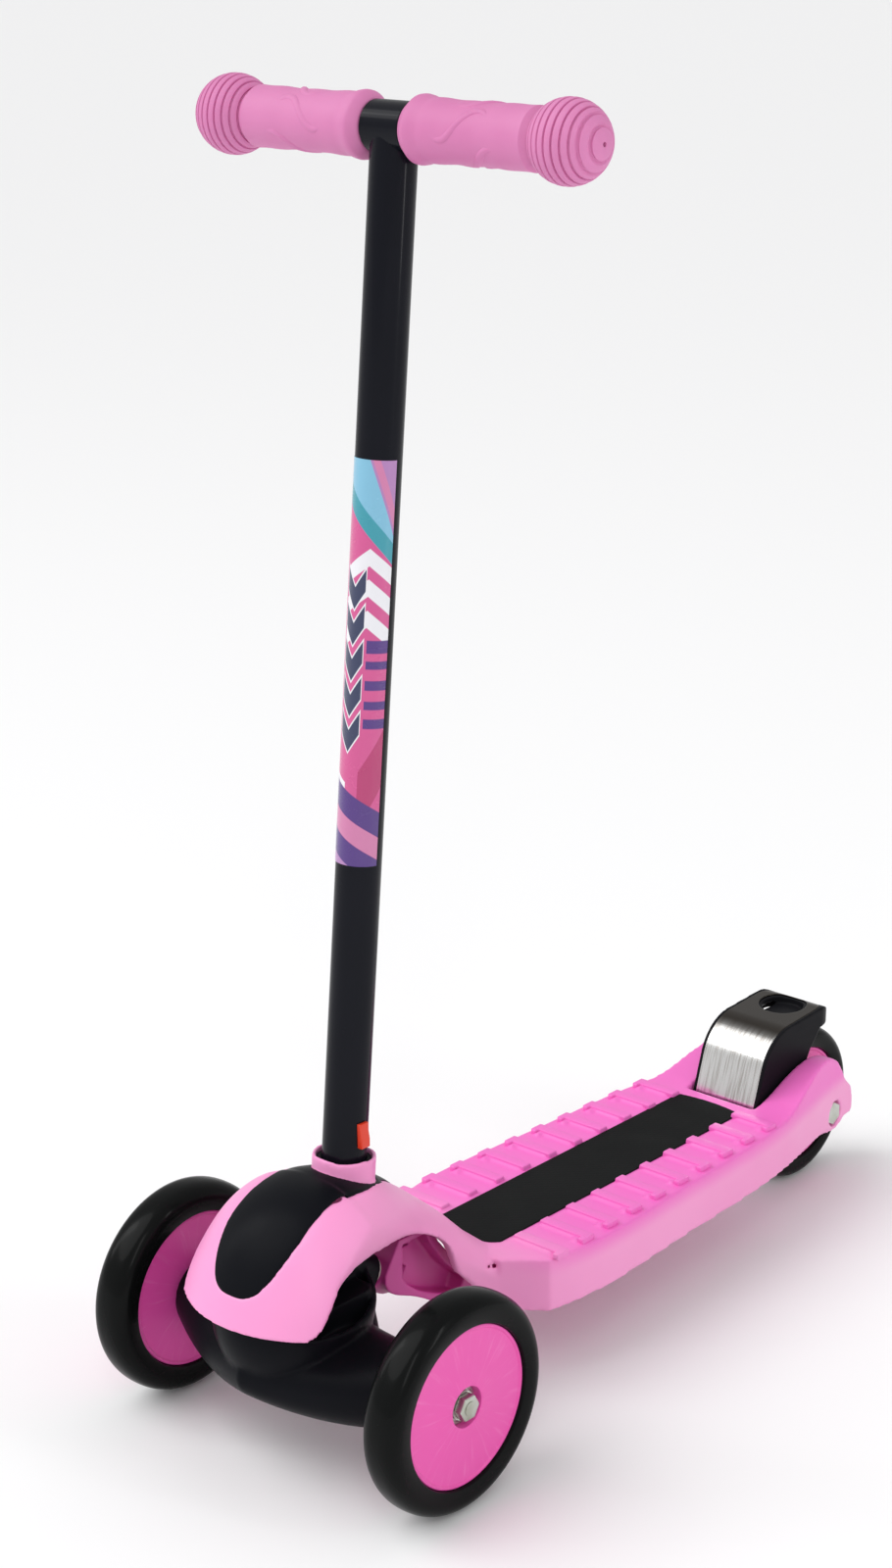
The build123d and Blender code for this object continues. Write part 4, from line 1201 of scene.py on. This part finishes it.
@dataclass
class Wheel:
    """A solid tyre on a dished hub disc with its recessed axle hole."""

    label: str
    node: str
    body: Body
    centre: Vector
    radius: float
    half: float
    hub_r: float
    recess_r: float = 11.0
    bearing_w: float = 7.0

    @property
    def place(self) -> Matrix:
        """The wheel's centre."""
        return Matrix.Translation(self.centre)

    def build(self) -> None:
        """Builds and hangs the tyre, hub and bearings."""
        self.tyre()
        self.hub()
        self.bearings()

    def bearings(self) -> None:
        """The pair of shielded ball bearings."""
        low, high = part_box(f"{self.node}_bearings")
        w, r = self.bearing_w / 2, self.recess_r
        side = [(w - 0.4, r - 0.02), (w, r - 0.5), (w, r - 1.9), (w - 0.5, r - 2.1), (w - 0.6, 6.6),
                (w - 0.5, 6.3), (w, 6.1), (w, 4.5), (w - 0.4, 4.1)]
        profile = side + [(-x, y) for x, y in reversed(side)] + side[:1]
        for end, label in ((low.x + w * MM, "A"), (high.x - w * MM, "B")):
            middle = Vector((end, self.centre.y, self.centre.z))
            piece = lathe(f"Bearing_{self.label}_{label}", profile, Matrix.Translation(middle), 64)
            replaced = [f"{self.node}_bearings"] if label == "A" else []
            publish(piece, self.body, Slot.STEEL, ZINC, replaced)

    def tyre(self) -> None:
        """The rounded tyre with a step at its bead."""
        bead, crown = self.hub_r, self.radius
        middle = (bead + crown) / 2 - 0.8
        tall = crown - middle
        count = 28
        line = [(-self.half + 2.2, bead), (-self.half + 1.0, bead + 0.5), (-self.half + 0.5, bead + 1.6)]
        for index in range(count + 1):
            angle = math.pi - math.pi * index / count
            x = self.half * math.copysign(abs(math.cos(angle)) ** 0.82, math.cos(angle))
            line.append((x, middle + tall * math.sin(angle) ** 0.86))
        line += [(self.half - 0.5, bead + 1.6), (self.half - 1.0, bead + 0.5), (self.half - 2.2, bead)]
        line += [(self.half - 5.0, bead - 0.4), (-self.half + 5.0, bead - 0.4), (-self.half + 2.2, bead)]
        piece = lathe(f"Tyre_{self.label}", line, self.place, 144)
        publish(piece, self.body, Slot.TYRE, TYRE_BLACK, [f"{self.node}_tyre"])

    def hub(self) -> None:
        """The hub disc: a rolled rim, a shallow dish and a recess for the axle's nut."""
        face = self.half - 2.3
        rim = self.hub_r - 0.15
        side = [(face - 1.2, rim), (face - 0.3, rim - 0.35), (face, rim - 1.0), (face - 0.1, rim - 1.8),
                (face - 0.75, rim - 2.5), (face - 0.8, rim - 3.0), (face - 0.2, self.recess_r + 2.2),
                (face, self.recess_r + 1.2), (face - 0.2, self.recess_r + 0.3), (face - 0.9, self.recess_r)]
        mirrored = [(-x, r) for x, r in reversed(side)]
        piece = lathe(f"Hub_{self.label}", side + mirrored + side[:1], self.place, 120)
        finish = HubFinish(f"hub pink {self.label.lower()}", (0.83, 0.085, 0.42), (0.92, 0.24, 0.58),
                           (0.30, 0.42), 1200.0, 0.00003, soft=0.04, centre=(self.centre.y, self.centre.z))
        publish(piece, self.body, Slot.HUB, finish, [f"{self.node}_hub"])


@dataclass
class FrontAxle:
    """The black truck with its arms, and the bolts that carry the front wheels."""

    across: float = 13.0
    thick: float = 5.0
    truck_grid: float = 1.0

    def build(self) -> None:
        """Builds and hangs the truck and its fasteners."""
        truck = softened("truck_body", "Truck", self.truck_grid, 6)
        publish(truck, Body.TRUCK, Slot.TRUCK, TRUCK_BLACK, ["truck_body"])
        low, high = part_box("front_axle_nuts")
        for side, label in ((1, "Left"), (-1, "Right")):
            edge = high.x if side > 0 else low.x
            middle = Vector((edge - side * self.thick / 2 * MM, (low.y + high.y) / 2, (low.z + high.z) / 2))
            nut = hexagon(f"Axle_Nut_{label}", self.across, self.thick, Matrix.Translation(middle))
            publish(nut, Body.TRUCK, Slot.STEEL, ZINC, ["front_axle_nuts"] if side > 0 else [])
        for node in ("front_axle", "front_washers"):
            keep_node(node, ZINC)


@dataclass
class FootBrake:
    """The sprung brake over the rear wheel, with its bright pressed plate."""

    body_grid: float = 0.7
    plate_grid: float = 0.35

    def build(self) -> None:
        """Builds and hangs the brake's pieces."""
        body = softened("brake_body", "Brake_Lever", self.body_grid, 4)
        publish(body, Body.BRAKE, Slot.BRAKE, BRAKE_BLACK, ["brake_body"])
        plate = softened("brake_plate", "Brake_Plate", self.plate_grid, 2)
        publish(plate, Body.BRAKE, Slot.BRAKE_METAL, PRESSED, ["brake_plate"])


class Fasteners:
    """Small inner parts that keep their CAD shape under detailed finishes."""

    def build(self) -> None:
        """Dresses every carried-over node."""
        steel = ["keel_screws", "kingpin_bolt", "kingpin_nut", "kingpin_washers", "brake_pin",
                 "rear_axle_bolt", "rear_axle_nut", "rear_axle_spacers"]
        for wheel in ("front_left", "front_right", "rear"):
            steel.append(f"{wheel}_spacer")
        for node in steel:
            keep_node(node, ZINC)
        for node in ("brake_spring", "latch_spring"):
            keep_node(node, WIRE)
        keep_node("thrust_washers", NYLON)
        keep_node("centering_blocks", ELASTOMER)


@dataclass
class Studio:
    """Pale floor, soft lights and the camera."""

    camera_at: tuple[float, float, float] = (0.9722, -1.2208, 0.8226)
    pitch: float = -17.90
    yaw: float = 41.08
    lens: float = 67.47
    floor_half: float = 40.0
    floor_colour: Colour = (0.94, 0.94, 0.945)
    room_light: float = 0.62
    aim: tuple[float, float, float] = (0, 0, 0.25)

    def build(self) -> None:
        """Builds the floor, lights, surroundings and camera."""
        self.floor()
        self.sun(1.3, (-1.0, -1.2, 2.0), 50.0)
        self.lamp("Key", (1.6, -1.9, 2.0), (0.5, 1.8), 10.0)
        self.lamp("Fill", (-2.2, -1.2, 1.6), (0.5, 1.8), 9.0)
        self.lamp("Strip", (2.3, 0.4, 1.2), (0.25, 1.8), 9.0)
        self.surroundings()
        self.camera()
        bpy.context.scene.view_settings.view_transform = "Standard"

    def floor(self) -> None:
        """A plain pale floor."""
        clear_selection()
        bpy.ops.mesh.primitive_plane_add(size=2 * self.floor_half, location=(0, 0, -0.0002))
        floor = named("Floor")
        sheet = NodeSheet("floor")
        sheet.set(Base_Color=(*self.floor_colour, 1.0), Roughness=0.85)
        floor.data.materials.append(sheet.material)

    def lamp(self, name: str, at: Sequence[float], size: Point2, power: float) -> None:
        """One soft rectangular light aimed at the scooter's middle.

        Args:
            name: the light's name.
            at: its place.
            size: its width and height.
            power: its power in watts.
        """
        light = bpy.data.lights.new(name, "AREA")
        light.shape = "RECTANGLE"
        light.size, light.size_y = size
        light.energy = power
        lamp = bpy.data.objects.new(name, light)
        lamp.location = at
        aim = Vector(self.aim) - Vector(at)
        lamp.rotation_euler = aim.to_track_quat("-Z", "Y").to_euler()
        bpy.context.scene.collection.objects.link(lamp)

    def sun(self, power: float, at: Sequence[float], spread: float) -> None:
        """Broad soft light from one side of the room.

        Args:
            power: its strength.
            at: a point on the side that it comes from.
            spread: its angular size in degrees.
        """
        light = bpy.data.lights.new("Window", "SUN")
        light.energy = power
        light.angle = math.radians(spread)
        lamp = bpy.data.objects.new("Window", light)
        lamp.rotation_euler = (-Vector(at)).to_track_quat("-Z", "Y").to_euler()
        bpy.context.scene.collection.objects.link(lamp)

    def surroundings(self) -> None:
        """Even white light from all round."""
        world = bpy.data.worlds.new("Studio")
        world.use_nodes = True
        background = world.node_tree.nodes["Background"]
        background.inputs["Color"].default_value = (1.0, 1.0, 1.0, 1.0)
        background.inputs["Strength"].default_value = self.room_light
        bpy.context.scene.world = world

    def camera(self) -> None:
        """The camera."""
        lens = bpy.data.cameras.new("Camera")
        lens.sensor_fit = "AUTO"
        lens.sensor_width = 36.0
        lens.lens = self.lens
        camera = bpy.data.objects.new("Camera", lens)
        camera.location = self.camera_at
        camera.rotation_euler = (math.radians(90 + self.pitch), 0.0, math.radians(self.yaw))
        bpy.context.scene.collection.objects.link(camera)
        bpy.context.scene.camera = camera


FRONT_WHEEL = {"radius": 60.0, "half": 12.0, "hub_r": 44.5}
REAR_WHEEL = {"radius": 50.0, "half": 10.5, "hub_r": 37.0}


def wheels() -> list[Wheel]:
    """The three wheels at their CAD places."""
    made = []
    for label, body, sizes in (("Front_Left", Body.FRONT_LEFT, FRONT_WHEEL),
                               ("Front_Right", Body.FRONT_RIGHT, FRONT_WHEEL),
                               ("Rear", Body.REAR, REAR_WHEEL)):
        node = label.lower()
        low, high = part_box(f"{node}_tyre")
        made.append(Wheel(label, node, body, (low + high) / 2, **sizes))
    return made


def main() -> None:
    """Builds every sub-assembly in order."""
    logging.basicConfig(level=logging.INFO, format="%(message)s")
    for part in (DeckBody(), Handlebar(), FrontAxle(), *wheels(), FootBrake(), Fasteners(),
                 Studio()):
        part.build()
        LOG.info("%s done", type(part).__name__)


if __name__ == "__main__":
    main()
